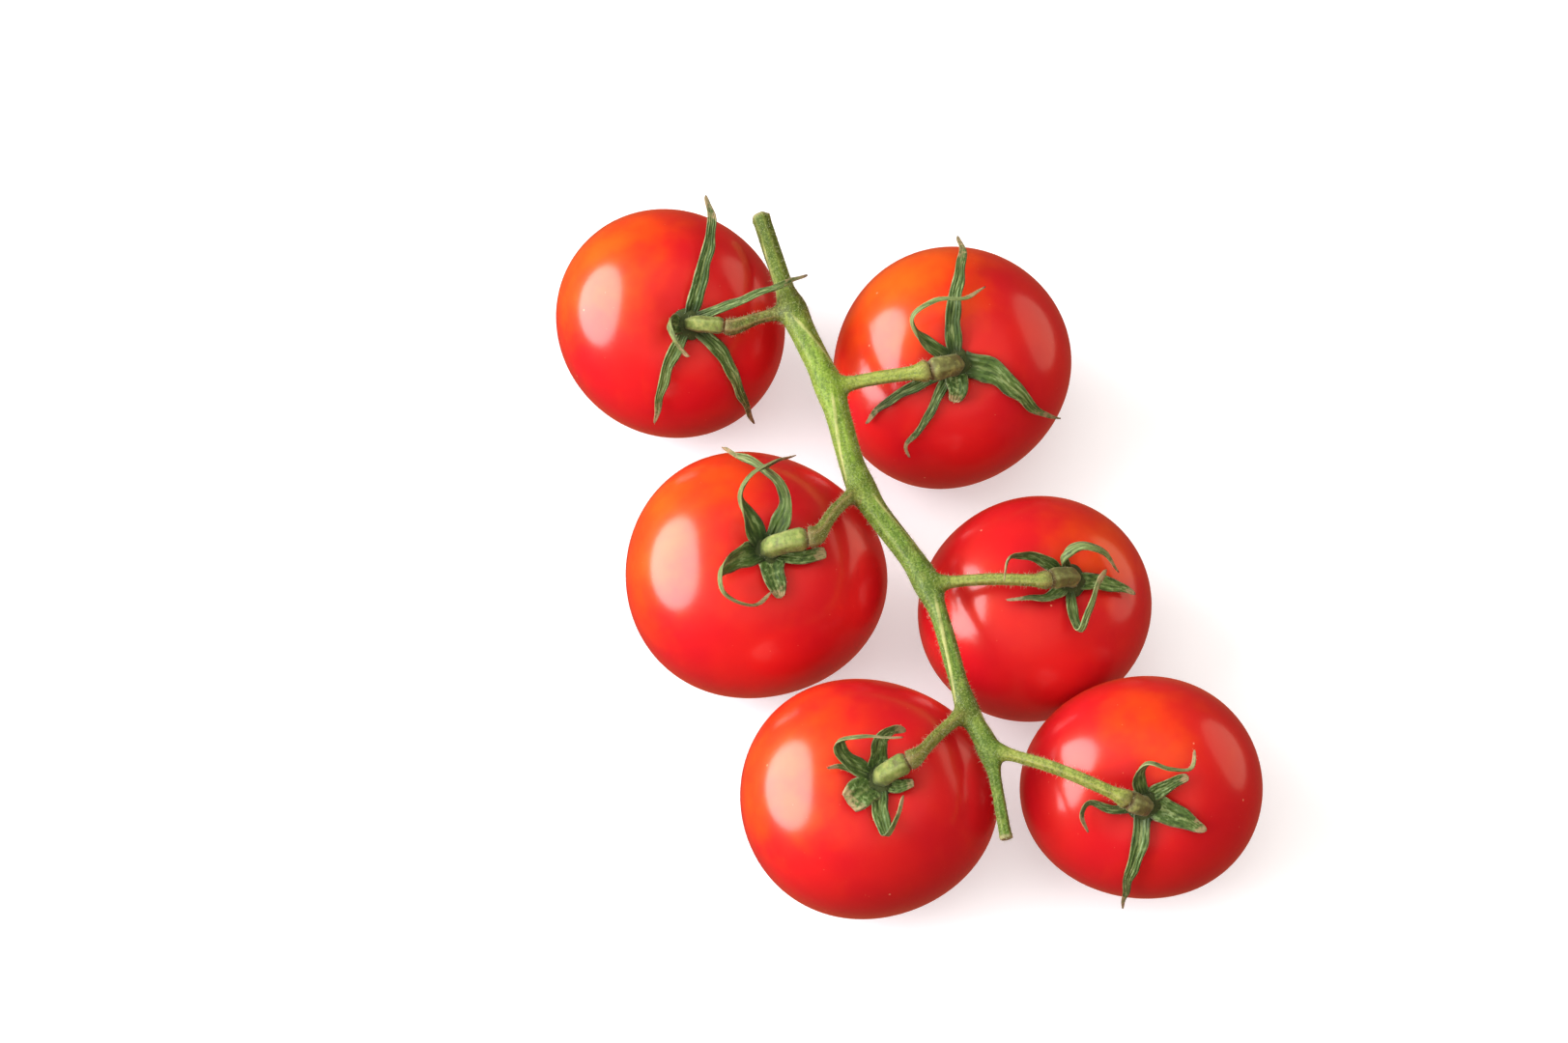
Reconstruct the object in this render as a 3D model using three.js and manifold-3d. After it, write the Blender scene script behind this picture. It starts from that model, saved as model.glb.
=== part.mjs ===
// A truss of six vine tomatoes, cut from its plant and lying on a table.
// Millimetres, +Z up. The stem runs along Y with its cut end at +Y, and the origin is under the middle.
// Fruits and calyxes are numbered from the cut end to the tip. Odd ones hang on the left of the stem.
import * as THREE from 'three';
import { mergeVertices } from 'three/addons/utils/BufferGeometryUtils.js';
import Module from 'manifold-3d';

const wasm = await Module();
wasm.setup();

// ---- Fruits ----
// oval and corner are uneven shares of the girth, each with the bearing it is largest at.
// lean is how far the stalk end tips from upright, and leanTo is the bearing that it tips to.
const FRUITS = [
  { diameter: 45, height: 39.5, lean: 34, leanTo: -68,
    oval: 0.03, ovalAt: -46, corner: 0, cornerAt: 0 },
  { diameter: 47, height: 41.5, lean: 30, leanTo: -88,
    oval: 0.028, ovalAt: 54, corner: 0.013, cornerAt: 0 },
  { diameter: 48.5, height: 42.5, lean: 17, leanTo: -64,
    oval: 0.035, ovalAt: -10, corner: 0.02, cornerAt: -4 },
  { diameter: 44, height: 38.5, lean: 22, leanTo: -29,
    oval: 0.035, ovalAt: 31, corner: 0, cornerAt: 0 },
  { diameter: 46.5, height: 41, lean: 17, leanTo: -69,
    oval: 0.04, ovalAt: -6, corner: 0.018, cornerAt: 4 },
  { diameter: 43.5, height: 38.5, lean: 37, leanTo: -94,
    oval: 0.045, ovalAt: 2, corner: 0.011, cornerAt: -54 },
];
const SQUARENESS = 2.2; // 2 is an ellipsoid, more has fuller shoulders
const DIMPLE_DEPTH = 2;
const DIMPLE_RADIUS = 6;
const SETTLE = 0.35; // how far a ripe fruit flattens where it rests

// ---- Layout: two rows of fruits in a zigzag, spaced from skin to skin of equally wide round fruits ----
const FIRST_BEARING = -11; // from fruit 1 to fruit 2
const SPACE_ACROSS = [9.7, 12.3, 7.5, 6.9, 6.4]; // from each fruit to the next, over the stem
const SPACE_ALONG = [12.6, 9.2, 4.2, -0.9]; // to the next on its own side, below 0 where ovals nest

// ---- Main stem ----
// Each fork is placed from its own fruit: shares of the way to two neighbours.
// rise is over the highest calyx seat of the three, so the stem stays clear of a taller fruit.
const FORKS = [
  { toward: [2, 3], share: [0.42, 0.06], rise: -1.3 },
  { toward: [1, 3], share: [0.17, 0.38], rise: 0.2 },
  { toward: [2, 4], share: [0.21, 0.23], rise: 0.7 },
  { toward: [3, 5], share: [0.28, 0.19], rise: 0.2 },
  { toward: [4, 6], share: [0.22, 0.22], rise: -0.3 },
  { toward: [5, 4], share: [0.57, 0.01], rise: -0.3 },
];
const STUB = { length: 25, bearing: 104.5, drop: 4.5 }; // the end that was cut from the plant
const TIP = { length: 17, bearing: -79, drop: 4 };
const STEM_DIAMETERS = [3.5, 4.9, 4.7, 4.5, 3.3, 3.6, 2.2]; // of each stretch, cut end first
const FORK_SWELL = 0.5; // added to the radius at a fork
const FORK_SWELL_LENGTH = 4;
const CUT_FLARE = 0.2; // added to the radius at both cut ends

// ---- Stalks ----
// joint is where the stalk snaps: out from the calyx, its bearing, and its height over the calyx.
const STALKS = [
  { diameter: 2.2, joint: [6, -5, 5.4], knob: 3.4, lift: 0 },
  { diameter: 2.6, joint: [5.5, -167, 6.4], knob: 4.6, lift: 0.5 },
  { diameter: 2.5, joint: [7, 10, 6.5], knob: 4.5, lift: 0.5 },
  { diameter: 2.3, joint: [6.5, -164, 5.4], knob: 4, lift: 1 },
  { diameter: 2.4, joint: [5, 27, 6], knob: 4.2, lift: 0 },
  { diameter: 2.3, joint: [3.6, 150, 6.7], knob: 4, lift: 2 },
];
const JOINT_GAP = 0.3;
const STALK_ROOT_FLARE = 0.8; // added to the radius where a stalk leaves the stem
const STALK_ROOT_LENGTH = 3;

// ---- Sepals ----
// Each path starts near the stalk: out from the calyx, bearing and height over it, in mm and degrees.
// taper is 0.5 for a full blade and more for a long thin tail. roll turns the blade on its edge.
const SEPALS = [
  [
    { width: 3.4, taper: 0.5, roll: 0,
      path: [[1.5, 78, 1], [6.5, 78, 2.8], [13, 77, 3], [19.5, 77, 1.6], [25, 81, -1.5]] },
    { width: 2.2, taper: 0.6, roll: 20,
      path: [[1.5, 42, 1], [8, 26, 4.8], [13.5, 25, 7.4], [18.5, 24, 8.6], [24, 23, 6.4]] },
    { width: 3.4, taper: 0.7, roll: 0,
      path: [[1.5, -31, 1], [9, -43, 1.6], [16, -51, -0.8], [24.5, -53, -8.5]] },
    { width: 3, taper: 0.6, roll: 0,
      path: [[1.5, -120, 1], [9, -117, 1.5], [14.5, -111, -0.7], [20, -106, -5]] },
    { width: 3, taper: 0.2, roll: 0,
      path: [[1.5, -166, 1], [4.3, -175, 4], [4.7, -138, 6], [6.4, -100, 5]] },
  ],
  [
    { width: 3.6, taper: 0.6, roll: 0,
      path: [[1.5, 94, 1], [9, 94, 2.6], [14.7, 89, 1], [21.7, 86, -3], [25, 88, -7]] },
    { width: 3.4, taper: 0.6, roll: -65,
      path: [[1.5, 137, 1], [9, 143, 4.7], [12.3, 133, 6.5], [12.8, 110, 7.6],
        [12.7, 82, 7.2], [15.7, 70, 4.6]] },
    { width: 6.4, taper: 1.2, roll: 0,
      path: [[1.5, 3, 1], [7, -11, 1.8], [12.4, -23, 0.8], [18.6, -29, -3.2], [23, -26, -7.4]] },
    { width: 4.6, taper: 0.25, roll: 0,
      path: [[1.5, -91, 1], [4.8, -87, 3], [7.2, -92, 1.6]] },
    { width: 2.4, taper: 0.7, roll: 0,
      path: [[1.5, -130, 1], [8, -119, 1.9], [13, -118, 0.5], [18, -121, -2.2], [19.7, -116, -2.8]] },
    { width: 2.8, taper: 0.6, roll: 0,
      path: [[1.5, -148, 1], [9, -152, 1.5], [15.3, -151, -0.9], [20.3, -147, -4.7]] },
  ],
  [
    { width: 4.4, taper: 0.7, roll: -60,
      path: [[1.5, 138, 1], [6, 129, 4.6], [10.4, 124, 7.6], [12.7, 109, 9], [15.4, 88, 7], [19, 74, 1.8]] },
    { width: 3.4, taper: 0.7, roll: 45,
      path: [[1.5, 60, 1], [8.5, 69, 5.6], [11.3, 81, 7], [15.3, 98, 5.6],
        [19.4, 109, 1.2], [22.5, 111, -3.8]] },
    { width: 4.6, taper: 0.7, roll: 60,
      path: [[1.5, -163, 1], [6.7, -157, 4.2], [10.9, -148, 6], [13, -131, 6],
        [12, -104, 4.8], [8.5, -85, 2.9]] },
    { width: 4, taper: 0.4, roll: 0,
      path: [[1.5, -65, 1], [6, -79, 2.6], [9.7, -75, 1.8]] },
    { width: 3.2, taper: 0.15, roll: 0,
      path: [[1.5, -31, 1], [6.1, -14, 2.4], [11, -3, 2.2]] },
  ],
  [
    { width: 3, taper: 0.6, roll: 50,
      path: [[1.5, 163, 1], [6.6, 161, 4], [11.8, 169, 5.8], [15, 178, 7.4], [15.6, -168, 5.6]] },
    { width: 3, taper: 0.6, roll: -35,
      path: [[1.5, -120, 1], [7, -141, 2], [11, -153, 2.4], [14, -158, 1]] },
    { width: 3.2, taper: 0.6, roll: -50,
      path: [[1.5, 117, 1], [4.4, 130, 5], [4.9, 90, 7.6], [6, 42, 7], [8.8, 11, 3.6]] },
    { width: 4, taper: 0.6, roll: 0,
      path: [[1.2, -6, 1], [4.3, -1, 1.8], [8.7, -3, 2], [13, -6, 1.2]] },
    { width: 2.4, taper: 0.3, roll: 0,
      path: [[1.5, -104, 1], [8.2, -92, 3], [11, -89, 5], [7.6, -80, 6.8], [3.9, -45, 7.4], [4.8, 10, 6.9]] },
  ],
  [
    { width: 3, taper: 0.3, roll: 0,
      path: [[1.5, 157, 1], [6.7, 158, 4.6], [9.8, 148, 7], [7.4, 125, 8.8],
        [5.8, 84, 9.6], [6.8, 62, 9.4]] },
    { width: 2, taper: 0.6, roll: 40,
      path: [[1.5, 173, 1], [5.1, 168, 2.4], [8.1, 168, 2.9], [10, 172, 3.2]] },
    { width: 3.8, taper: 0.7, roll: -25,
      path: [[1.5, 111, 1], [4.2, 99, 3.6], [6.4, 93, 5.6], [8.6, 76, 5.4], [9.4, 62, 3.6]] },
    { width: 6, taper: 0.1, roll: 0,
      path: [[1.5, -131, 1], [5.1, -139, 3.2], [8.2, -140, 3.6]] },
    { width: 2.8, taper: 0.3, roll: 0,
      path: [[1.5, -94, 1], [7.3, -91, 3], [11.1, -85, 4.6], [8.3, -72, 6.6], [5.6, -50, 7]] },
    { width: 2.8, taper: 0.2, roll: 0,
      path: [[1.5, -47, 1], [3.7, -24, 1.8], [6.2, -10, 2.4]] },
  ],
  [
    { width: 3.2, taper: 0.6, roll: -30,
      path: [[1.5, 100, 1], [6.1, 102, 4.6], [8.6, 87, 7], [8.7, 61, 6.6], [11, 42, 4.7], [13.8, 50, 3.6]] },
    { width: 3, taper: 0.3, roll: 0,
      path: [[1.5, 64, 1], [6, 42, 2.2], [9.6, 34, 2.3]] },
    { width: 5.4, taper: 0.35, roll: 0,
      path: [[1.5, -3, 1], [5.3, -17, 2], [9.2, -21, 2.1], [12.2, -22, 1.4]] },
    { width: 3.8, taper: 0.6, roll: 0,
      path: [[1.5, -105, 1], [7.5, -97, 1.7], [13.4, -101, -0.2], [21.5, -100, -8.5]] },
    { width: 2.2, taper: 0.6, roll: 30,
      path: [[1.5, -162, 1], [5.6, -172, 1.8], [10.3, 178, 2.2], [11.8, -171, 2.7], [11.4, -154, 1.8]] },
  ],
];
const SEPAL_THICKNESS = 0.7;
const HUB_RADIUS = 3.2; // the green disc that the sepals grow from
const HUB_THICKNESS = 1.6;
const SKIN_GAP = 0.3; // from the calyx to its fruit

// ---- Colours ----
const RIPE_RED = 0xe02818;
const STEM_GREEN = 0x8fa84a;
const SEPAL_GREEN = 0x55753a;

// ---- How finely the solids are faceted ----
const FRUIT_SIDES = 24;
const FRUIT_RINGS = 15;
const STEM_STEPS = 54;
const STALK_STEPS = 8;
const TUBE_SIDES = 8;
const SEPAL_STEPS = 8;

const radians = THREE.MathUtils.degToRad;
const squash = (value) => Math.sign(value) * Math.abs(value) ** (2 / SQUARENESS);

// A direction in plan, by its bearing in degrees from +X.
function heading(bearing) {
  return new THREE.Vector3(Math.cos(radians(bearing)), Math.sin(radians(bearing)), 0);
}

// Moves every vertex of a geometry by a function of its place.
function reshape(geometry, place) {
  const vertices = geometry.attributes.position;
  for (let i = 0; i < vertices.count; i += 1) {
    const moved = place(vertices.getX(i), vertices.getY(i), vertices.getZ(i));
    vertices.setXYZ(i, moved.x, moved.y, moved.z);
  }
  return geometry;
}

// A closed geometry as a solid that can be joined to others.
function solidOf(geometry) {
  geometry.deleteAttribute('normal');
  geometry.deleteAttribute('uv');
  const merged = mergeVertices(geometry, 1e-5);
  const vertProperties = new Float32Array(merged.attributes.position.array);
  const triVerts = new Uint32Array(merged.index.array);
  return new wasm.Manifold(new wasm.Mesh({ numProp: 3, vertProperties, triVerts }));
}

function geometryOf(solid) {
  const { vertProperties, triVerts } = solid.getMesh();
  const geometry = new THREE.BufferGeometry();
  geometry.setAttribute('position', new THREE.BufferAttribute(vertProperties, 3));
  geometry.setIndex(new THREE.BufferAttribute(triVerts, 1));
  geometry.computeVertexNormals();
  return geometry;
}

function join(solids) {
  return solids.reduce((whole, piece) => whole.add(piece));
}

// ---- Fruit shape, about its own centre with its stalk end at +Z ----
function girth(fruit, bearing) {
  const oval = fruit.oval * Math.cos(2 * (bearing - radians(fruit.ovalAt)));
  const corner = fruit.corner * Math.cos(3 * (bearing - radians(fruit.cornerAt)));
  return (fruit.diameter / 2) * (1 + oval + corner);
}

function dimple(out) {
  return DIMPLE_DEPTH * Math.exp(-((out / DIMPLE_RADIUS) ** 2));
}

// Turns a unit ball's point into the fruit's: a fuller profile, an uneven girth and a stalk dimple.
function skin(fruit, x, y, z) {
  const flat = Math.hypot(x, y);
  const bearing = Math.atan2(y, x);
  const out = girth(fruit, bearing) * squash(flat);
  const up = (fruit.height / 2) * squash(z) - (z > 0 ? dimple(out) : 0);
  return new THREE.Vector3(out * Math.cos(bearing), out * Math.sin(bearing), up);
}

// 1 on the skin, less inside it and more outside.
function gauge(fruit, point) {
  const out = Math.hypot(point.x, point.y);
  const up = point.z > 0 ? point.z + dimple(out) : point.z;
  const across = out / girth(fruit, Math.atan2(point.y, point.x));
  return (across ** SQUARENESS + Math.abs(up / (fruit.height / 2)) ** SQUARENESS) ** (1 / SQUARENESS);
}

// The fruit's axes as a rotation: +Z to its stalk end, +X as near the truss's +X as that allows.
function fruitAxes(fruit) {
  const lean = radians(fruit.lean);
  const up = heading(fruit.leanTo).multiplyScalar(Math.sin(lean)).setZ(Math.cos(lean));
  const along = new THREE.Vector3(1, 0, 0);
  along.addScaledVector(up, -along.dot(up)).normalize();
  return new THREE.Matrix4().makeBasis(along, up.clone().cross(along), up);
}

function makeFruit(fruit) {
  const ball = new THREE.SphereGeometry(1, FRUIT_SIDES, FRUIT_RINGS).rotateX(Math.PI / 2);
  reshape(ball, (x, y, z) => skin(fruit, x, y, z)).applyMatrix4(fruitAxes(fruit));
  ball.computeBoundingBox();
  const rest = ball.boundingBox.min.z + SETTLE;
  const wide = 2 * fruit.diameter;
  const table = new THREE.BoxGeometry(wide, wide, wide).translate(0, 0, rest - wide / 2);
  return { geometry: geometryOf(solidOf(ball).subtract(solidOf(table))), centreHeight: -rest };
}

// ---- Layout ----
// The corner of a triangle at fromA from a and fromB from b. side is 1 for the right of a to b.
function thirdCorner(a, b, fromA, fromB, side) {
  const base = b.clone().sub(a);
  const span = base.length();
  const along = (fromA ** 2 - fromB ** 2 + span ** 2) / (2 * span);
  const across = Math.sqrt(fromA ** 2 - along ** 2);
  base.normalize();
  const aside = new THREE.Vector3(base.y, -base.x, 0).multiplyScalar(side * across);
  return a.clone().addScaledVector(base, along).add(aside);
}

function fruitPlaces() {
  const reach = (i, j, space) => (FRUITS[i].diameter + FRUITS[j].diameter) / 2 + space;
  const places = [new THREE.Vector3()];
  places.push(heading(FIRST_BEARING).multiplyScalar(reach(0, 1, SPACE_ACROSS[0])));
  for (let i = 2; i < FRUITS.length; i += 1) {
    const fromA = reach(i - 2, i, SPACE_ALONG[i - 2]);
    const fromB = reach(i - 1, i, SPACE_ACROSS[i - 1]);
    places.push(thirdCorner(places[i - 2], places[i - 1], fromA, fromB, i % 2 ? -1 : 1));
  }
  return places;
}

// ---- Tubes and blades carried along a curve ----
// The curve's points with a side direction that turns as little as it can.
function framesAlong(curve, steps, side) {
  const frames = [];
  let last = side.clone();
  for (let i = 0; i <= steps; i += 1) {
    const tangent = curve.getTangentAt(i / steps);
    last = last.clone().addScaledVector(tangent, -last.dot(tangent)).normalize();
    frames.push({ point: curve.getPointAt(i / steps), tangent, side: last, up: last.clone().cross(tangent) });
  }
  return frames;
}

// Carries a solid of unit length along Y, given its width and depth in X and Z at each step.
function carry(geometry, frames, section) {
  const steps = frames.length - 1;
  return reshape(geometry, (x, y, z) => {
    const share = y + 0.5;
    const { point, side, up } = frames[Math.round(share * steps)];
    const [across, over] = section(share, x, z);
    return point.clone().addScaledVector(side, across).addScaledVector(up, over);
  });
}

function tubeAlong(curve, steps, radiusAt) {
  const frames = framesAlong(curve, steps, new THREE.Vector3(0.3, 0.2, 1));
  const rod = new THREE.CylinderGeometry(1, 1, 1, TUBE_SIDES, steps);
  const length = curve.getLength();
  return solidOf(carry(rod, frames, (share, x, z) => {
    const radius = radiusAt(share * length, length);
    return [x * radius, z * radius];
  }));
}

// ---- Main stem ----
function forkPoints(centres, seats) {
  return FORKS.map(({ toward, share, rise }, i) => {
    const point = centres[i].clone();
    toward.forEach((other, k) => point.addScaledVector(centres[other - 1].clone().sub(centres[i]), share[k]));
    const highest = Math.max(seats[i].z, ...toward.map((other) => seats[other - 1].z));
    return point.setZ(highest + rise);
  });
}

function freeEnd(fork, end) {
  return fork.clone().addScaledVector(heading(end.bearing), end.length).setZ(fork.z - end.drop);
}

// How far along the curve each point lies.
function stations(curve, points) {
  const samples = curve.getSpacedPoints(STEM_STEPS * 8);
  const length = curve.getLength();
  return points.map((point) => {
    const gaps = samples.map((sample) => sample.distanceTo(point));
    return (gaps.indexOf(Math.min(...gaps)) / (samples.length - 1)) * length;
  });
}

function stemRadius(at, length, forks) {
  const stretch = forks.filter((fork) => fork < at).length;
  const near = (place, reach) => Math.exp(-(((at - place) / reach) ** 2));
  const blend = (i) => {
    const own = STEM_DIAMETERS[stretch];
    const wider = Math.max(STEM_DIAMETERS[i], STEM_DIAMETERS[i + 1]);
    return ((wider - own) / 2 + FORK_SWELL) * near(forks[i], FORK_SWELL_LENGTH);
  };
  const swell = forks.reduce((most, fork, i) => Math.max(most, blend(i)), 0);
  const flare = CUT_FLARE * (near(0, 1) + near(length, 1));
  return STEM_DIAMETERS[stretch] / 2 + swell + flare;
}

function makeStem(forks, stalkEnds) {
  const route = new THREE.CatmullRomCurve3([freeEnd(forks[0], STUB), ...forks, freeEnd(forks[5], TIP)]);
  const places = stations(route, forks);
  const main = tubeAlong(route, STEM_STEPS, (at, length) => stemRadius(at, length, places));
  return join([main, ...forks.map((fork, i) => makeStalk(fork, stalkEnds[i], STALKS[i]))]);
}

// From inside the stem to the joint, where the stalk swells to meet its lower half.
function makeStalk(fork, end, stalk) {
  const middle = fork.clone().lerp(end.point, 0.5);
  middle.z += stalk.lift;
  const start = end.point.clone().addScaledVector(end.tangent, JOINT_GAP / 2);
  const approach = start.clone().addScaledVector(end.tangent, 1.5);
  const route = new THREE.CatmullRomCurve3([fork, middle, approach, start]);
  return tubeAlong(route, STALK_STEPS, (at, length) => {
    const root = STALK_ROOT_FLARE * Math.exp(-(((at - 1) / STALK_ROOT_LENGTH) ** 2));
    const knob = (stalk.knob / 2 - stalk.diameter / 2) * Math.exp(-(((length - at) / 1.2) ** 2));
    return stalk.diameter / 2 + root + knob * 0.9;
  });
}

// ---- Calyx, about the bottom of the dimple with +Z along the fruit's axis ----
function fromPolar([out, bearing, up]) {
  return heading(bearing).multiplyScalar(out).setZ(up);
}

function lowerStalkRoute(stalk) {
  const [out, bearing, up] = stalk.joint;
  const knee = [[out * 0.15, bearing, up * 0.6], [out * 0.5, bearing, up * 0.9]];
  return new THREE.CatmullRomCurve3([[0, 0, 0.6], ...knee, [out, bearing, up]].map(fromPolar));
}

function makeLowerStalk(stalk) {
  const route = lowerStalkRoute(stalk);
  const frames = framesAlong(route, STALK_STEPS, new THREE.Vector3(0.3, 1, 0.1));
  const rod = new THREE.CylinderGeometry(1, 1, 1, TUBE_SIDES, STALK_STEPS);
  const last = frames[STALK_STEPS];
  last.point.addScaledVector(last.tangent, -JOINT_GAP / 2);
  return carry(rod, frames, (share, x, z) => {
    const radius = (stalk.knob / 2) * (1 - 0.18 * Math.sin(Math.PI * share));
    return [x * radius, z * radius];
  });
}

function makeSepal(sepal) {
  const curve = new THREE.CatmullRomCurve3(sepal.path.map(fromPolar));
  const frames = framesAlong(curve, SEPAL_STEPS, curve.getTangentAt(0).cross(new THREE.Vector3(0, 0, 1)));
  const blade = new THREE.BoxGeometry(1, 1, 1, 1, SEPAL_STEPS, 1);
  return carry(blade, frames, (share, x, z) => {
    const turn = radians(sepal.roll) * THREE.MathUtils.smoothstep(share, 0, 0.4);
    const across = x * (0.4 + (sepal.width - 0.4) * (1 - share) ** sepal.taper);
    const over = z * SEPAL_THICKNESS;
    return [across * Math.cos(turn) - over * Math.sin(turn), across * Math.sin(turn) + over * Math.cos(turn)];
  });
}

function makeHub() {
  const hub = new THREE.SphereGeometry(1, 10, 6).rotateX(Math.PI / 2);
  return hub.scale(HUB_RADIUS, HUB_RADIUS, HUB_THICKNESS / 2).translate(0, 0, 1);
}

// Pushes a geometry out of the fruit, straight away from its centre, to SKIN_GAP over the skin.
function clearSkin(geometry, fruit, depth) {
  return reshape(geometry, (x, y, z) => {
    const point = new THREE.Vector3(x, y, z + depth);
    for (let pass = 0; pass < 3; pass += 1) {
      const wanted = 1 + SKIN_GAP / point.length() + SKIN_GAP / fruit.diameter;
      point.multiplyScalar(Math.max(1, wanted / gauge(fruit, point)));
    }
    return point.setZ(point.z - depth);
  });
}

function makeCalyx(fruit, stalk, sepals) {
  const depth = fruit.height / 2 - DIMPLE_DEPTH;
  const pieces = [makeHub(), makeLowerStalk(stalk), ...sepals.map(makeSepal)];
  return join(pieces.map((piece) => solidOf(clearSkin(piece, fruit, depth))));
}

// ---- The whole truss ----
function mesh(name, geometry, color, roughness) {
  const material = new THREE.MeshStandardMaterial({ color, roughness, metalness: 0 });
  const made = new THREE.Mesh(geometry, material);
  made.name = name;
  return made;
}

function makeTruss() {
  const truss = new THREE.Group();
  const fruits = FRUITS.map(makeFruit);
  const centres = fruitPlaces().map((place, i) => place.setZ(fruits[i].centreHeight));
  const seats = [];
  const stalkEnds = [];
  FRUITS.forEach((fruit, i) => {
    const ripe = mesh(`tomato_${i + 1}`, fruits[i].geometry, RIPE_RED, 0.25);
    ripe.position.copy(centres[i]);
    const axes = fruitAxes(fruit);
    const seat = new THREE.Vector3(0, 0, fruit.height / 2 - DIMPLE_DEPTH).applyMatrix4(axes).add(centres[i]);
    const green = geometryOf(makeCalyx(fruit, STALKS[i], SEPALS[i]));
    const calyx = mesh(`calyx_${i + 1}`, green, SEPAL_GREEN, 0.7);
    calyx.applyMatrix4(axes.clone().setPosition(seat));
    seats.push(seat);
    const route = lowerStalkRoute(STALKS[i]);
    const point = route.getPointAt(1).applyMatrix4(calyx.matrix);
    stalkEnds.push({ point, tangent: route.getTangentAt(1).transformDirection(calyx.matrix) });
    truss.add(ripe, calyx);
  });
  const stem = makeStem(forkPoints(centres, seats), stalkEnds);
  truss.add(mesh('main_stem', geometryOf(stem), STEM_GREEN, 0.6));
  const box = new THREE.Box3().setFromObject(truss, true);
  const middle = box.getCenter(new THREE.Vector3());
  truss.position.set(-middle.x, -middle.y, -box.min.z);
  return truss;
}

export default makeTruss();
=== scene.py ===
import math

import bpy
import numpy as np
from mathutils import Matrix, Vector


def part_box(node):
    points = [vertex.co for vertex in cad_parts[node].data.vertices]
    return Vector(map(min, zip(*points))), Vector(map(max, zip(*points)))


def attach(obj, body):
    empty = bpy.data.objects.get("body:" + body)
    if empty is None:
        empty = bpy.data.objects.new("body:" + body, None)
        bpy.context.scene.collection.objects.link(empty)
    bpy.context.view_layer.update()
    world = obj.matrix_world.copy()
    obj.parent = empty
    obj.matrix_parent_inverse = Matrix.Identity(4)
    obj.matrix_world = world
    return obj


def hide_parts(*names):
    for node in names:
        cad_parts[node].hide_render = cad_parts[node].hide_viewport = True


# A truss of six vine tomatoes lying on a pale floor.
# Lengths are millimetres until a mesh is made. Bearings are degrees from +X, seen from above.
# Fruits and calyxes are numbered from the cut end of the stem to its tip.

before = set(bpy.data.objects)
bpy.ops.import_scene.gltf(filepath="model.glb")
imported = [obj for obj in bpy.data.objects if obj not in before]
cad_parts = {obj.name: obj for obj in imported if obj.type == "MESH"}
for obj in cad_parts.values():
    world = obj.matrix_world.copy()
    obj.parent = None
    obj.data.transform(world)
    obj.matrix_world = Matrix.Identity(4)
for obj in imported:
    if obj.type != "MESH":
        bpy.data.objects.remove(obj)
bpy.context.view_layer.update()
MM = 0.001

# ---- Fruits ----
# oval and corner are uneven shares of the girth, each with the bearing it is largest at.
# lean is how far the stalk end tips from upright, and lean_to is the bearing that it tips to.
FRUITS = [
    dict(diameter=45, height=39.5, lean=34, lean_to=-68,
         oval=0.03, oval_at=-46, corner=0, corner_at=0),
    dict(diameter=47, height=41.5, lean=30, lean_to=-88,
         oval=0.028, oval_at=54, corner=0.013, corner_at=0),
    dict(diameter=48.5, height=42.5, lean=17, lean_to=-64,
         oval=0.035, oval_at=-10, corner=0.02, corner_at=-4),
    dict(diameter=44, height=38.5, lean=22, lean_to=-29,
         oval=0.035, oval_at=31, corner=0, corner_at=0),
    dict(diameter=46.5, height=41, lean=17, lean_to=-69,
         oval=0.04, oval_at=-6, corner=0.018, corner_at=4),
    dict(diameter=43.5, height=38.5, lean=37, lean_to=-94,
         oval=0.045, oval_at=2, corner=0.011, corner_at=-54),
]
# Each fruit keeps some orange about one point of its skin, at a bearing and an angle up from level. It is
# partly later ripening and partly painted light: the orange of a brightly lit red skin, set on the side
# the key panel lights.
# reach is how far the orange goes from there in degrees, and amount is its strength.
LIT_ORANGE_AND_RIPENING = [
    dict(bearing=148, up=32, reach=82, amount=1),
    dict(bearing=136, up=45, reach=78, amount=1),
    dict(bearing=162, up=36, reach=72, amount=0.88),
    dict(bearing=29, up=47, reach=52, amount=0.6),
    dict(bearing=180, up=38, reach=62, amount=0.75),
    dict(bearing=67, up=80, reach=52, amount=0.55),
]
SQUARENESS = 2.2  # 2 is an ellipsoid, and more has fuller shoulders
DIMPLE_DEPTH = 2
DIMPLE_RADIUS = 6
SETTLE = 0.35  # how far a ripe fruit flattens where it rests
SKIN_SCALE = 0.995  # keeps the round skin inside its faceted solid's box
DIMPLE_FOLDS = 5  # shallow creases that run into the dimple
FOLD_DEPTH = 0.14
FOLD_LENGTH = 3
BLOSSOM_DENT = 0.35
BLOSSOM_DENT_RADIUS = 4
BLOSSOM_NUB = 0.3
BLOSSOM_NUB_RADIUS = 0.8

# ---- Main stem ----
# Each fork is placed from its own fruit: shares of the way to two neighbours.
# rise is over the highest calyx seat of the three.
FORKS = [
    dict(toward=[2, 3], share=[0.42, 0.06], rise=-1.3),
    dict(toward=[1, 3], share=[0.17, 0.38], rise=0.2),
    dict(toward=[2, 4], share=[0.21, 0.23], rise=0.7),
    dict(toward=[3, 5], share=[0.28, 0.19], rise=0.2),
    dict(toward=[4, 6], share=[0.22, 0.22], rise=-0.3),
    dict(toward=[5, 4], share=[0.57, 0.01], rise=-0.3),
]
STUB = dict(length=25, bearing=104.5, drop=4.5)  # the end that was cut from the plant
TIP = dict(length=17, bearing=-79, drop=4)
STEM_DIAMETERS = [3.5, 4.9, 4.7, 4.5, 3.3, 3.6, 2.2]  # of each stretch, cut end first
FORK_SWELL = 0.5  # added to the radius at a fork
FORK_SWELL_LENGTH = 4
CUT_FLARE = 0.2  # added to the radius at both cut ends

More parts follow.
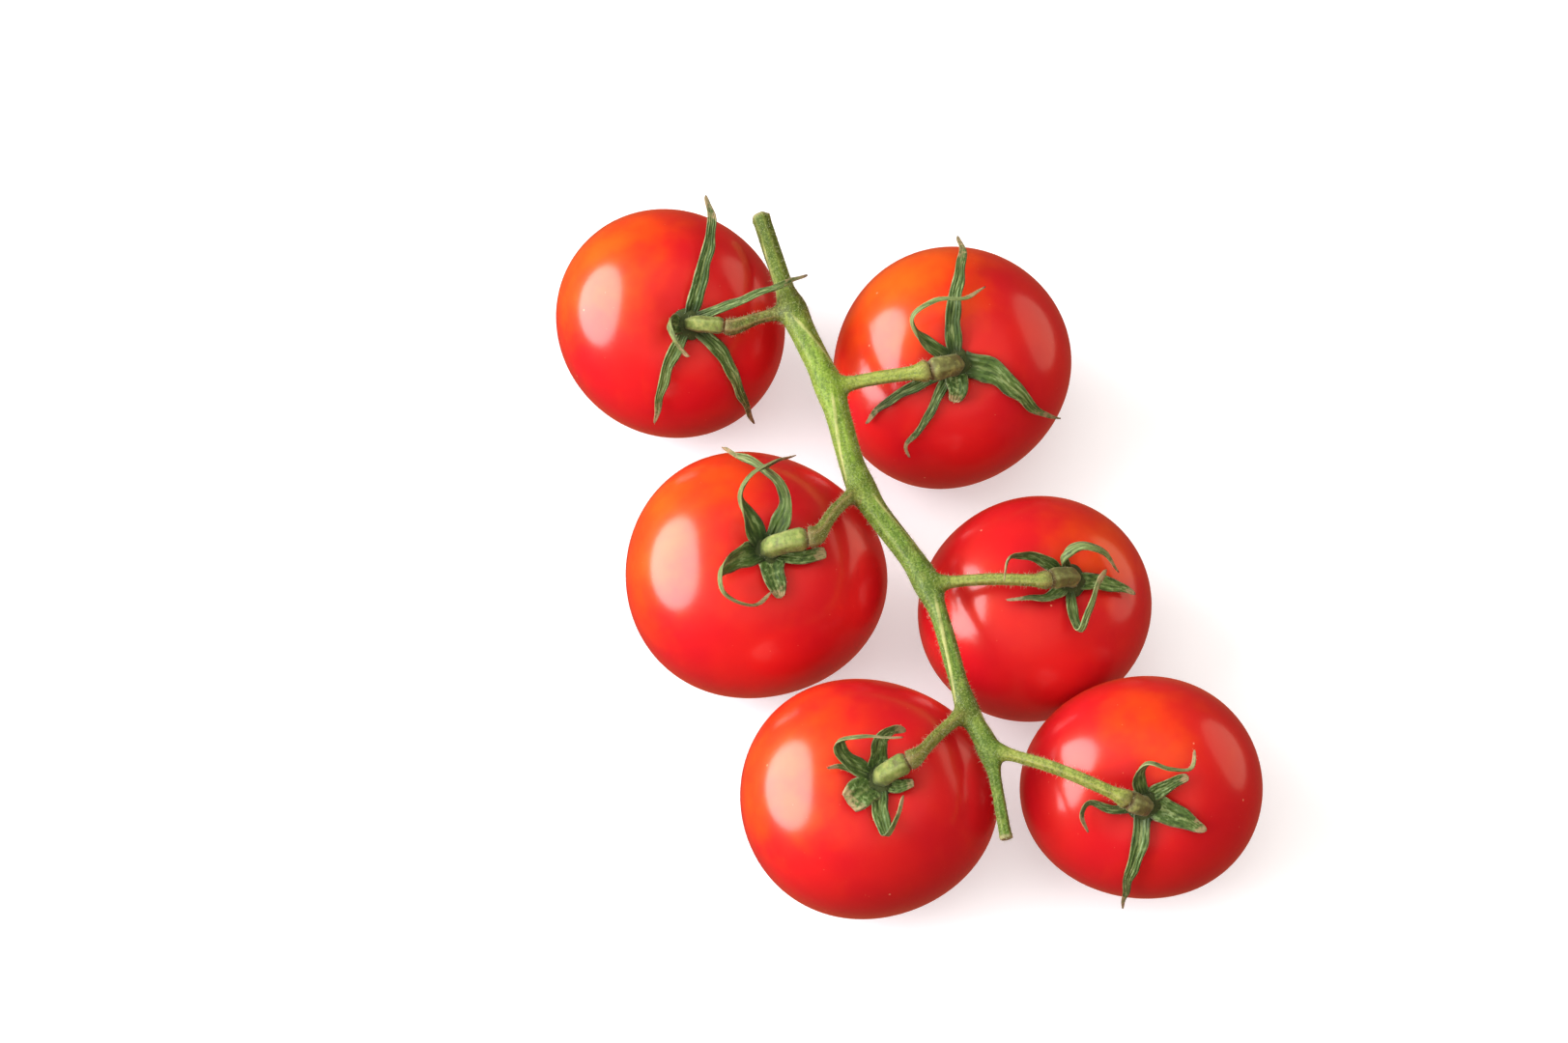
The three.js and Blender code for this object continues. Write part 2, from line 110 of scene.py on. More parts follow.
# ---- Stalks ----
# joint is where the stalk snaps: out from the calyx, its bearing, and its height over the calyx.
# knob is the diameter there, swell is how far back it thickens the stalk, and lift raises its middle.
# tone and knob_tone are 0 for olive brown and 1 for light green, above the joint and under it.
# The stalk's upper edge runs on up the stem as a pale ridge that turns by ridge_turn degrees in each
# millimetre. bark is how brown and corky the stem is at the fork.
STALKS = [
    dict(diameter=2.2, joint=[6, -5, 5.4], knob=3.4, swell=5, lift=0,
         tone=0.1, knob_tone=0.85, ridge_turn=2, bark=0.95),
    dict(diameter=2.6, joint=[5.5, -167, 6.4], knob=4.6, swell=2.2, lift=0.5,
         tone=0.9, knob_tone=0.25, ridge_turn=-6, bark=0.1),
    dict(diameter=2.5, joint=[7, 10, 6.5], knob=4.5, swell=2.6, lift=0.5,
         tone=0.3, knob_tone=0.95, ridge_turn=3, bark=0.4),
    dict(diameter=2.3, joint=[6.5, -164, 5.4], knob=4, swell=2, lift=1,
         tone=0.7, knob_tone=0.3, ridge_turn=-3, bark=0.3),
    dict(diameter=2.4, joint=[5, 27, 6], knob=4.2, swell=2.4, lift=0,
         tone=0.45, knob_tone=0.9, ridge_turn=3, bark=0.6),
    dict(diameter=2.3, joint=[3.6, 150, 6.7], knob=4, swell=2, lift=2,
         tone=0.75, knob_tone=0.2, ridge_turn=-2, bark=0.25),
]
JOINT_SEAM = 0.1  # shows as a dark line
STALK_ROOT_FLARE = 0.8  # added to the radius where a stalk leaves the stem
STALK_ROOT_LENGTH = 3
KNOB_LOBES = 5
KNOB_LOBE_HEIGHT = 0.09

# ---- Sepals ----
# Each is a width, a taper, a roll, and the points of a path: how far out from the calyx, at what bearing,
# and how high over it. taper is 0.5 for a full blade and more for a long thin tail, and roll turns the
# blade on its edge.
SEPALS = [
    [
        [3.4, 0.5, 0, [1.5, 78, 1], [6.5, 78, 2.8], [13, 77, 3], [19.5, 77, 1.6], [25, 81, -1.5]],
        [2.2, 0.6, 20, [1.5, 42, 1], [8, 26, 4.8], [13.5, 25, 7.4], [18.5, 24, 8.6], [24, 23, 6.4]],
        [3.4, 0.7, 0, [1.5, -31, 1], [9, -43, 1.6], [16, -51, -0.8], [24.5, -53, -8.5]],
        [3, 0.6, 0, [1.5, -120, 1], [9, -117, 1.5], [14.5, -111, -0.7], [20, -106, -5]],
        [4, 0.12, 0, [1.5, -166, 1], [4.3, -175, 4], [4.9, -138, 6.2], [6.6, -100, 5.2]],
    ],
    [
        [3.6, 0.6, 0, [1.5, 94, 1], [9, 94, 2.6], [14.7, 89, 1], [21.7, 86, -3], [25, 88, -7]],
        [3.4, 0.6, -65, [1.5, 137, 1], [9, 143, 4.7], [12.3, 133, 6.5], [12.8, 110, 7.6],
         [12.7, 82, 7.2], [15.7, 70, 4.6]],
        [6.4, 1.2, 0, [1.5, 3, 1], [7, -11, 1.8], [12.4, -23, 0.8], [18.6, -29, -3.2], [23, -26, -7.4]],
        [4.6, 0.25, 0, [1.5, -91, 1], [4.8, -87, 3], [7.2, -92, 1.6]],
        [2.4, 0.7, 0, [1.5, -130, 1], [8, -119, 1.9], [13, -118, 0.5], [18, -121, -2.2],
         [19.7, -116, -2.8]],
        [2.8, 0.6, 0, [1.5, -148, 1], [9, -152, 1.5], [15.3, -151, -0.9], [20.3, -147, -4.7]],
    ],
    [
        [5, 0.7, -60, [1.5, 138, 1], [6, 129, 4.6], [10.4, 124, 7.6], [12.7, 109, 9],
         [15.4, 88, 7], [19, 74, 1.8]],
        [4.2, 0.75, 45, [1.5, 60, 1], [8.5, 69, 5.6], [11.3, 81, 7], [15.3, 98, 5.6],
         [19.4, 109, 1.2], [22.5, 111, -3.8]],
        [5.4, 0.75, 60, [1.5, -163, 1], [6.7, -157, 4.2], [10.9, -148, 6], [13, -131, 6],
         [12, -104, 4.8], [8.5, -85, 2.9]],
        [5.4, 0.35, 0, [1.5, -65, 1], [6, -79, 2.6], [9.7, -75, 1.8]],
        [3.2, 0.15, 0, [1.5, -31, 1], [6.1, -14, 2.4], [11, -3, 2.2]],
    ],
    [
        [3, 0.6, 50, [1.5, 163, 1], [6.6, 161, 4], [11.8, 169, 5.8], [15, 178, 7.4], [15.6, -168, 5.6]],
        [3, 0.6, -35, [1.5, -120, 1], [7, -141, 2], [11, -153, 2.4], [14, -158, 1]],
        [3.2, 0.6, -50, [1.5, 117, 1], [4.4, 130, 5], [4.9, 90, 7.6], [6, 42, 7], [8.8, 11, 3.6]],
        [4, 0.6, 0, [1.2, -6, 1], [4.3, -1, 1.8], [8.7, -3, 2], [13, -6, 1.2]],
        [2.4, 0.3, 0, [1.5, -104, 1], [8.2, -92, 3], [11, -89, 5], [7.6, -80, 6.8],
         [3.9, -45, 7.4], [4.8, 10, 6.9]],
    ],
    [
        [3.6, 0.4, 0, [1.5, 157, 1], [6.7, 158, 4.6], [9.8, 148, 7], [7.4, 125, 8.8],
         [5.8, 84, 9.6], [6.8, 62, 9.4]],
        [2, 0.6, 40, [1.5, 173, 1], [5.1, 168, 2.4], [8.1, 168, 2.9], [10, 172, 3.2]],
        [4.6, 0.6, -25, [1.5, 111, 1], [4.2, 99, 3.6], [6.4, 93, 5.6], [8.6, 76, 5.4], [9.4, 62, 3.6]],
        [6, 0.1, 0, [1.5, -131, 1], [5.1, -139, 3.2], [8.2, -140, 3.6]],
        [3.5, 0.4, 0, [1.5, -94, 1], [7.3, -91, 3], [11.1, -85, 4.6], [8.3, -72, 6.6], [5.6, -50, 7]],
        [2.8, 0.2, 0, [1.5, -47, 1], [3.7, -24, 1.8], [6.2, -10, 2.4]],
    ],
    [
        [3.2, 0.6, -30, [1.5, 100, 1], [6.1, 102, 4.6], [8.6, 87, 7], [8.7, 61, 6.6],
         [11, 42, 4.7], [13.8, 50, 3.6]],
        [3, 0.3, 0, [1.5, 64, 1], [6, 42, 2.2], [9.6, 34, 2.3]],
        [5.6, 0.55, 0, [1.5, -3, 1], [5.3, -17, 2], [9.2, -21, 2.1], [12.2, -22, 1.4]],
        [3.9, 0.95, 0, [1.5, -105, 1], [7.5, -97, 1.7], [13.4, -101, -0.2], [21.5, -100, -8.5]],
        [2.2, 0.6, 30, [1.5, -162, 1], [5.6, -172, 1.8], [10.3, 178, 2.2], [11.8, -171, 2.7],
         [11.4, -154, 1.8]],
    ],
]
BLADE_THICKNESS = 0.55
BLADE_TIP_WIDTH = 0.35
BLADE_FOLD = 0.34  # how steeply the halves of a blade rise from its midrib
BLADE_RIB = 0.22  # how far the midrib stands out underneath
BLADE_GROOVE = 0.1  # over the midrib
BLADE_MIDRIB = 0.16  # the midrib's share of a half blade
BLADE_VEINS = 5  # on each half
VEIN_HEIGHT = 0.03
BLADE_WAVER = 0.06  # the share of its width by which a blade widens and narrows
EDGE_WAVE = 0.1  # how steeply its edges rise and fall
BLADE_SWAY = 0.12  # to either side of its path
BLADE_GAP = 0.2  # from a blade to the skin
HUB_RADIUS = 3.2  # the green disc that the sepals grow from
HUB_THICKNESS = 1.6
HUB_HEIGHT = 1  # of its middle
HUB_LOBES = 5
HUB_GAP = 0.02

# ---- How finely the pieces are made ----
FRUIT_ROWS = 104
FRUIT_SIDES = 144
CURVE_SAMPLES = 60  # for each span between two points of a path
STEM_STEPS = 420
STALK_STEPS = 60
TUBE_SIDES = 36
KNOB_STEPS = 30
BLADE_STEPS = 40
BLADE_HALF = 13  # points across one face of a blade
HUB_ROWS = 24
HUB_SIDES = 40
STEM_GRAIN = 0.26  # the size of a face of the joined stem

# ---- The stem's skin and hairs ----
FORK_REACH = 5  # how far from a fork its hollows are smoothed
FORK_ROUNDS = 40  # of smoothing there
SKIN_ROUNDS = 8  # of smoothing everywhere
STEM_RIDGES = 6
STALK_RIDGES = 5
RIDGE_HEIGHT = 0.07
STEM_SIDE = np.array([0.3, 0.2, 1])  # the side that the tubes' rings start from
RUN_HEIGHT = 0.13  # of the ridges that run up from the stalks
RUN_WIDTH = 0.42
RUN_END = 6  # where the first of them ends, from the cut end
BARK_REACH = 5.5
STEM_HAIRS = 7000
STEM_HAIR_LENGTH = 1.0
CALYX_HAIRS = 420
CALYX_HAIR_LENGTH = 0.45
HAIR_RADIUS = 0.027
HAIR_ROOT = 0.05  # how deep a hair is set
HAIR_LEAN = 0.45  # how unevenly hairs stand
SHORTEST_HAIR = 0.35  # as a share of the longest


# ---- Arithmetic ----
def unit(vectors):
    """Vectors divided by their own lengths."""
    return vectors / np.linalg.norm(vectors, axis=-1, keepdims=True)


def heading(bearing):
    """The level direction with x = cos(bearing) and y = sin(bearing)."""
    angle = math.radians(bearing)
    return np.array([math.cos(angle), math.sin(angle), 0.0])


def smooth_step(values, low, high):
    """0 below low, 1 above high, and 3t^2 - 2t^3 between them."""
    t = np.clip((values - low) / (high - low), 0, 1)
    return t * t * (3 - 2 * t)


def bell(values, width):
    """exp(-(value / width)^2): 1 at nothing, and nearly 0 by two widths away."""
    return np.exp(-((values / width) ** 2))


def squash(values):
    """The sign of a value times its size to the power 2 / SQUARENESS, which fills out a round profile."""
    return np.sign(values) * np.abs(values) ** (2 / SQUARENESS)


def smooth_curve(points, count):
    """Evenly spaced points on a curve through the given ones, and its length.

    Between two points it is the cubic with their places and tangents. A tangent weighs the slopes of the
    spans beside it by the square roots of their lengths, and the end spans continue straight.
    """
    path = np.array(points, float)
    path = np.vstack([2 * path[0] - path[1], path, 2 * path[-1] - path[-2]])
    pace = np.linalg.norm(np.diff(path, axis=0), axis=1)[:, None] ** 0.5
    spans = len(points) - 1
    along = np.linspace(0, spans, CURVE_SAMPLES * spans + 1)
    span = np.minimum(along.astype(int), spans - 1)
    t = (along - span)[:, None]
    before, start, end, after = (path[span + k] for k in range(4))
    first, middle, last = (pace[span + k] for k in range(3))
    slope = (end - start) / middle
    leave = middle * ((start - before) / first - (end - before) / (first + middle) + slope)
    arrive = middle * (slope - (after - start) / (middle + last) + (after - end) / last)
    line = start + leave * t + (3 * (end - start) - 2 * leave - arrive) * t**2
    line = line + (2 * (start - end) + leave + arrive) * t**3
    reach = np.concatenate([[0], np.cumsum(np.linalg.norm(np.diff(line, axis=0), axis=1))])
    even = np.linspace(0, reach[-1], count)
    return np.stack([np.interp(even, reach, line[:, axis]) for axis in range(3)], -1), reach[-1]


def carry_axes(line, side):
    """A tangent, side and up direction at each point of a line.

    The tangent is the way to the next point. The side is the one before it, made square to the tangent.
    """
    tangents = unit(np.gradient(line, axis=0))
    sides = np.empty_like(line)
    for step, tangent in enumerate(tangents):
        side = unit(side - side @ tangent * tangent)
        sides[step] = side
    return tangents, sides, np.cross(sides, tangents)


# ---- Meshes ----
def close_shell(rings):
    """Points and faces of a closed surface from rings of points, shaped (rings, around, 3).

    Each ring joins the next by a row of quads, and an end ring joins its own middle by a fan. Where
    the volume, a sixth of the sum of corner . (corner x corner), comes out negative, faces are turned.
    """
    rows, around, _ = rings.shape
    points = np.vstack([rings.reshape(-1, 3), rings[0].mean(0), rings[-1].mean(0)])
    index = np.arange(rows * around).reshape(rows, around)
    beside = np.roll(index, -1, axis=1)
    quads = np.stack([index[:-1], beside[:-1], beside[1:], index[1:]], -1).reshape(-1, 4)
    middles = np.full((2, around), [[rows * around], [rows * around + 1]])
    near = np.stack([beside[0], index[0], middles[0]], -1)
    far = np.stack([index[-1], beside[-1], middles[1]], -1)
    corners = points - points.mean(0)
    halves = np.vstack([quads[:, :3], quads[:, [0, 2, 3]], near, far])
    a, b, c = (corners[halves[:, k]] for k in range(3))
    if np.einsum("ij,ij->", a, np.cross(b, c)) < 0:
        quads, near, far = quads[:, ::-1], near[:, ::-1], far[:, ::-1]
    return points, quads.tolist() + near.tolist() + far.tolist()


def over_ends(values):
    """One value for each point of a closed shell, whose end middles take the mean of their ring."""
    return np.concatenate([values.ravel(), [values[0].mean(), values[-1].mean()]])


class Shells:
    """Closed surfaces collected into one mesh, with named values at their points, and a finish each."""

    def __init__(self):
        self.points, self.faces, self.finishes, self.count = [], [], [], 0
        self.values = {}

    def add(self, rings, finish, **values):
        points, faces = close_shell(rings)
        self.faces += [[corner + self.count for corner in face] for face in faces]
        self.finishes += [finish] * len(faces)
        for name in set(self.values) | set(values):
            earlier = self.values.get(name, np.zeros(self.count))
            added = np.broadcast_to(values.get(name, 0.0), rings.shape[:2])
            self.values[name] = np.concatenate([earlier, over_ends(added)])
        self.points.append(points)
        self.count += len(points)

    def mesh(self, name):
        mesh = bpy.data.meshes.new(name)
        mesh.from_pydata((np.vstack(self.points) * MM).tolist(), [], self.faces)
        mesh.polygons.foreach_set("material_index", self.finishes)
        mesh.update()
        give_values(mesh, self.values)
        return mesh


def give_values(mesh, values):
    for name, numbers in values.items():
        mesh.attributes.new(name, "FLOAT", "POINT").data.foreach_set("value", numbers.astype(np.float32))


def show(mesh, name, materials):
    """An object with smooth faces that holds the mesh at the origin."""
    mesh.polygons.foreach_set("use_smooth", [True] * len(mesh.polygons))
    for material in materials:
        mesh.materials.append(material)
    piece = bpy.data.objects.new(name, mesh)
    bpy.context.scene.collection.objects.link(piece)
    return piece


def read_points(mesh, what="co"):
    numbers = np.empty(len(mesh.vertices) * 3, np.float32)
    mesh.vertices.foreach_get(what, numbers)
    return numbers.reshape(-1, 3).astype(float)


# ---- Fruit shape, about its own centre with its stalk end at +Z ----
def girth(fruit, bearing):
    """Half the diameter times 1 + oval cos 2(b - oval_at) + corner cos 3(b - corner_at)."""
    oval = fruit["oval"] * np.cos(2 * (bearing - math.radians(fruit["oval_at"])))
    corner = fruit["corner"] * np.cos(3 * (bearing - math.radians(fruit["corner_at"])))
    return fruit["diameter"] / 2 * (1 + oval + corner)


def dimple(out):
    return DIMPLE_DEPTH * bell(out, DIMPLE_RADIUS)


def skin(fruit, polar, bearing):
    """out = girth squash(sin polar), and up = height / 2 squash(cos polar) less a dimple on top.

    Shallow folds 1 + cos(folds b) run into the dimple, and the blossom end has a dent with a nub in it.
    """
    out = girth(fruit, bearing) * squash(np.sin(polar))
    up = fruit["height"] / 2 * squash(np.cos(polar))
    folds = FOLD_DEPTH * (1 + np.cos(DIMPLE_FOLDS * bearing)) * bell(out - DIMPLE_RADIUS, FOLD_LENGTH)
    dent = BLOSSOM_DENT * bell(out, BLOSSOM_DENT_RADIUS)
    nub = BLOSSOM_NUB * bell(out, BLOSSOM_NUB_RADIUS)
    up = up - np.where(up > 0, dimple(out) + folds, nub - dent)
    return np.stack([out * np.cos(bearing), out * np.sin(bearing), up], -1) * SKIN_SCALE


def lit_orange_share(points, lit_orange_spot):
    """The amount at the fruit's orange point, falling evenly to 0 at the reach, by the angle from it. The
    orange is partly ripening and partly painted light.
    """
    up = math.radians(lit_orange_spot["up"])
    toward = heading(lit_orange_spot["bearing"]) * math.cos(up) + np.array([0, 0, math.sin(up)])
    angle = np.degrees(np.arccos(np.clip(unit(points) @ toward, -1, 1)))
    return lit_orange_spot["amount"] * np.clip(1 - angle / lit_orange_spot["reach"], 0, 1)


def gauge(fruit, points):
    """1 on the skin, less inside it and more outside."""
    out = np.hypot(points[..., 0], points[..., 1])
    up = points[..., 2] + np.where(points[..., 2] > 0, dimple(out), 0)
    across = out / girth(fruit, np.arctan2(points[..., 1], points[..., 0]))
    return (across**SQUARENESS + np.abs(up / (fruit["height"] / 2)) ** SQUARENESS) ** (1 / SQUARENESS)


def fruit_axes(fruit):
    """Rows are the fruit's own axes: +Z to its stalk end, +X as near the truss's +X as that allows."""
    lean = math.radians(fruit["lean"])
    up = heading(fruit["lean_to"]) * math.sin(lean)
    up[2] = math.cos(lean)
    along = unit(np.array([1.0, 0, 0]) - up[0] * up)
    return np.array([along, np.cross(up, along), up])


def fruit_rings(fruit):
    polar = np.linspace(0, math.pi, FRUIT_ROWS + 2)[1:-1, None]
    bearing = np.linspace(0, 2 * math.pi, FRUIT_SIDES, endpoint=False)[None, :]
    return skin(fruit, polar, bearing), polar + 0 * bearing


def place_fruit(number, fruit):
    """The fruit's rings in the truss, its centre, and its axes.

    The middle of its own box goes to the middle of its solid's, and its lowest point sinks by SETTLE.
    """
    rings, polar = fruit_rings(fruit)
    axes = fruit_axes(fruit)
    turned = rings @ axes
    low, high = turned.min((0, 1)), turned.max((0, 1))
    solid_low, solid_high = (np.array(corner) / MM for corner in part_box(f"tomato_{number}"))
    centre = (solid_low + solid_high) / 2 - (low + high) / 2
    centre[2] = -low[2] - SETTLE
    placed = turned + centre
    placed[..., 2] = np.maximum(placed[..., 2], 0)
    return placed, polar, centre, axes


def clear_skin(points, fruit, gap):
    """Points about the calyx seat. Those nearer the skin than the gap move out from the fruit's centre.

    Each is scaled to a gauge of 1 + gap / |point| + gap / diameter, three times, as |point| changes.
    """
    depth = np.array([0, 0, fruit["height"] / 2 - DIMPLE_DEPTH])
    points = points + depth
    for _ in range(3):
        wanted = 1 + gap / np.linalg.norm(points, axis=-1) + gap / fruit["diameter"]
        points = points * np.maximum(1, wanted / gauge(fruit, points))[..., None]
    return points - depth


# ---- Calyx, about the bottom of the dimple with +Z along the fruit's axis ----
def from_polar(polar):
    out, bearing, up = polar
    return heading(bearing) * out + np.array([0, 0, up])


def lower_stalk_route(stalk):
    """A smooth curve up from the seat and over to the joint."""
    out, bearing, up = stalk["joint"]
    knee = [[out * 0.15, bearing, up * 0.6], [out * 0.5, bearing, up * 0.9]]
    points = [from_polar(point) for point in [[0, 0, 0.6], *knee, stalk["joint"]]]
    return smooth_curve(points, KNOB_STEPS + 1)[0]


def tube_rings(line, side, radii, lobes=0, lobe_height=0):
    """Rings of centre + radius (cos a side + sin a up). The radius swells by lobe_height cos(lobes a)."""
    _, sides, ups = carry_axes(line, side)
    angle = np.linspace(0, 2 * math.pi, TUBE_SIDES, endpoint=False)[None, :, None]
    reach = radii[:, None, None] + lobe_height * np.cos(lobes * angle)
    return line[:, None] + reach * (np.cos(angle) * sides[:, None] + np.sin(angle) * ups[:, None])


def knob_rings(stalk):
    """The short stalk under the joint, and the share of its length at each ring.

    Its radius is knob / 2 (0.84 + 0.12 widening)(1 - 0.2 rounding)(1 + 0.035 sin(11 s + knob)): an eighth
    less at the calyx than near the joint, rounded off at the joint, and a little lumpy.
    """
    line = lower_stalk_route(stalk)
    share = np.linspace(0, 1, len(line))
    end = unit(line[-1] - line[-2])
    line = line - end * (JOINT_SEAM / 2) * smooth_step(share, 0.8, 1)[:, None]
    radii = stalk["knob"] / 2 * (0.84 + 0.12 * smooth_step(share, 0.1, 0.7))
    radii = radii * (1 - 0.2 * smooth_step(share, 0.86, 1))
    radii = radii * (1 + 0.035 * np.sin(11 * share + stalk["knob"]))
    return tube_rings(line, np.array([0.3, 1, 0.1]), radii, KNOB_LOBES, KNOB_LOBE_HEIGHT), share


def blade_rings(sepal, fruit, seed):
    """A thin leaf blade carried along its path, as rings of points across its face and back under it.

    With s along it and x from -1 to 1 across it, its width is tip + (widest - tip)(1 - s)^taper, a little
    less at the root. Its faces are fold half (|x|^1.2 - 0.45) over its path, plus or minus half the
    thickness times sqrt(1 - x^2), with a groove over the midrib, a rib under it, ripples cos(veins pi x),
    and edges that rise and fall. The whole is turned about its path by the roll.
    """
    widest, taper, roll, *path = sepal
    chance = np.random.default_rng(seed)
    phase = chance.uniform(0, 2 * math.pi, 3)
    line, length = smooth_curve([from_polar(point) for point in path], BLADE_STEPS + 1)
    line = clear_skin(line, fruit, BLADE_GAP + BLADE_THICKNESS / 2 + BLADE_RIB)
    side = np.cross(line[1] - line[0], [0, 0, 1])
    _, sides, ups = carry_axes(line, side)
    share = np.linspace(0, 1, len(line))[:, None]
    across = np.linspace(-1, 1, BLADE_HALF)
    across = np.concatenate([across, across[-2:0:-1]])[None, :]
    face = np.concatenate([np.ones(BLADE_HALF), -np.ones(BLADE_HALF - 2)])[None, :]
    width = BLADE_TIP_WIDTH + (widest - BLADE_TIP_WIDTH) * (1 - share) ** taper
    width = width * (0.8 + 0.2 * smooth_step(share, 0, 0.2))
    width = width * (1 + BLADE_WAVER * np.sin(length * share * 1.1 + phase[0]))
    half = width / 2
    fold = BLADE_FOLD * (1 - 0.5 * share) * half * (np.abs(across) ** 1.2 - 0.45)
    depth = BLADE_THICKNESS / 2 * (0.35 + 0.65 * (1 - share) ** 0.5)
    thick = face * depth * np.sqrt(np.maximum(1 - across**2, 0))
    rib = -np.where(face > 0, BLADE_GROOVE, BLADE_RIB) * bell(across, BLADE_MIDRIB) * (1 - share) ** 0.7
    veins = VEIN_HEIGHT * np.cos(BLADE_VEINS * math.pi * across) * (1 - across**2) * (1 - share)
    wave = EDGE_WAVE * half * across * np.abs(across) * np.sin(length * share * 0.8 + phase[1])
    over = fold + thick + rib + veins + wave
    sway = BLADE_SWAY * np.sin(length * share * 0.9 + phase[2]) * smooth_step(share, 0.1, 0.5)
    aside = across * half + sway
    turn = math.radians(roll) * smooth_step(share, 0, 0.4)
    right = (aside * np.cos(turn) - over * np.sin(turn))[..., None]
    above = (aside * np.sin(turn) + over * np.cos(turn))[..., None]
    rings = line[:, None] + right * sides[:, None] + above * ups[:, None]
    values = dict(across=across + 0 * share, along=share + 0 * across, under=(face < 0) + 0 * share)
    values["tone"] = chance.uniform(0, 1)
    return clear_skin(rings, fruit, BLADE_GAP), values


def hub_rings():
    """A flattened ball between the sepals, whose radius is HUB_RADIUS (1 + 0.05 cos(lobes a))."""
    polar = np.linspace(0, math.pi, HUB_ROWS + 2)[1:-1, None]
    angle = np.linspace(0, 2 * math.pi, HUB_SIDES, endpoint=False)[None, :]
    out = HUB_RADIUS * np.sin(polar) * (1 + 0.05 * np.cos(HUB_LOBES * angle))
    up = HUB_HEIGHT + HUB_THICKNESS / 2 * np.cos(polar)
    return np.stack([out * np.cos(angle), out * np.sin(angle), up + 0 * angle], -1)


def calyx_shells(number, fruit, centre, axes):
    """The sepals, hub and short stalk of one fruit, turned by its axes and set on its seat."""
    stalk = STALKS[number - 1]
    seat = seat_of(fruit, centre, axes)
    shells = Shells()

    def put(rings, finish, **values):
        shells.add(rings @ axes + seat, finish, **values)

    put(clear_skin(hub_rings(), fruit, HUB_GAP), 1, knob=0.0, tone=0.55)
    knob, share = knob_rings(stalk)
    share = share[:, None] + np.zeros(TUBE_SIDES)
    angle = np.linspace(0, 2 * math.pi, TUBE_SIDES, endpoint=False)
    ridge = np.cos(KNOB_LOBES * angle) + 0 * share
    put(clear_skin(knob, fruit, HUB_GAP), 1, knob=share, ridge=ridge, tone=stalk["knob_tone"])
    for k, sepal in enumerate(SEPALS[number - 1]):
        rings, values = blade_rings(sepal, fruit, 100 * number + k)
        put(rings, 0, **values)
    return shells


def seat_of(fruit, centre, axes):
    """The bottom of the fruit's dimple, which its calyx sits in."""
    return centre + axes[2] * (fruit["height"] / 2 - DIMPLE_DEPTH)


# ---- Main stem ----
def fork_points(centres, seats):
    """Where the stalks leave the stem: from each fruit's centre, shares of the way to two others."""
    points = []
    for own, fork in enumerate(FORKS):
        point = centres[own].copy()
        others = [number - 1 for number in fork["toward"]]
        for other, share in zip(others, fork["share"]):
            point += (centres[other] - centres[own]) * share
        point[2] = max(seats[k][2] for k in [own, *others]) + fork["rise"]
        points.append(point)
    return points


def free_end(fork, end):
    return fork + heading(end["bearing"]) * end["length"] - np.array([0, 0, end["drop"]])


def stem_radii(at, length, forks):
    """Half each stretch's diameter, swollen at each fork from both sides alike, and flared at the ends."""
    stretch = np.searchsorted(forks, at)
    own = np.array(STEM_DIAMETERS)[stretch]
    swell = np.zeros_like(at)
    for k, fork in enumerate(forks):
        wider = max(STEM_DIAMETERS[k], STEM_DIAMETERS[k + 1])
        swell = np.maximum(swell, ((wider - own) / 2 + FORK_SWELL) * bell(at - fork, FORK_SWELL_LENGTH))
    return own / 2 + swell + CUT_FLARE * (bell(at, 1) + bell(at - length, 1))


def stalk_route(fork, end, tangent, stalk):
    middle = (fork + end) / 2 + np.array([0, 0, stalk["lift"]])
    start = end + tangent * JOINT_SEAM / 2
    return smooth_curve([fork, middle, start + tangent * 1.5, start], STALK_STEPS + 1)


def stalk_radii(at, length, stalk):
    """Half the diameter, flared where it leaves the stem and again where it swells to meet the joint."""
    root = STALK_ROOT_FLARE * bell(at - 1, STALK_ROOT_LENGTH)
    knob = (stalk["knob"] - stalk["diameter"]) / 2 * bell(length - at, stalk["swell"])
    lip = 0.1 * stalk["knob"] * bell(length - at, 0.25)
    return stalk["diameter"] / 2 + root + knob * 0.95 - lip


def relax(points, edges, share, rounds):
    """Moves each point to the mean of its neighbours by its share, round after round."""
    neighbours = np.bincount(edges.ravel(), minlength=len(points))[:, None]
    for _ in range(rounds):
        total = np.zeros_like(points)
        for axis in range(3):
            total[:, axis] = np.bincount(edges[:, 0], points[edges[:, 1], axis], len(points))
            total[:, axis] += np.bincount(edges[:, 1], points[edges[:, 0], axis], len(points))
        points = points + share[:, None] * (total / neighbours - points)
    return points


def join_grown(tubes, name):
    """The tubes grown into one even skin of small faces, as a mesh."""
    shells = Shells()
    for rings in tubes:
        shells.add(rings, 0)
    rough = show(shells.mesh(name + "_rough"), name + "_rough", [])
    grow = rough.modifiers.new("grow", "REMESH")
    grow.mode = "VOXEL"
    grow.voxel_size = STEM_GRAIN * MM
    graph = bpy.context.evaluated_depsgraph_get()
    mesh = bpy.data.meshes.new_from_object(rough.evaluated_get(graph))
    bpy.data.objects.remove(rough)
    return mesh


def nearest(points, samples):
    """For each point, the number of its closest sample: the least of |s|^2 - 2 p.s."""
    return np.argmin((samples**2).sum(1)[None, :] - 2 * points @ samples.T, axis=1)


def run_height(behind, span, angle, radius):
    """bell(angle radius, RUN_WIDTH) behind a fork, fading out over the last quarter of the span."""
    gap = np.abs((angle + math.pi) % (2 * math.pi) - math.pi) * radius
    shown = smooth_step(behind, -0.5, 2.5) * (1 - smooth_step(behind, 0.75 * span, span))
    return bell(gap, RUN_WIDTH) * shown


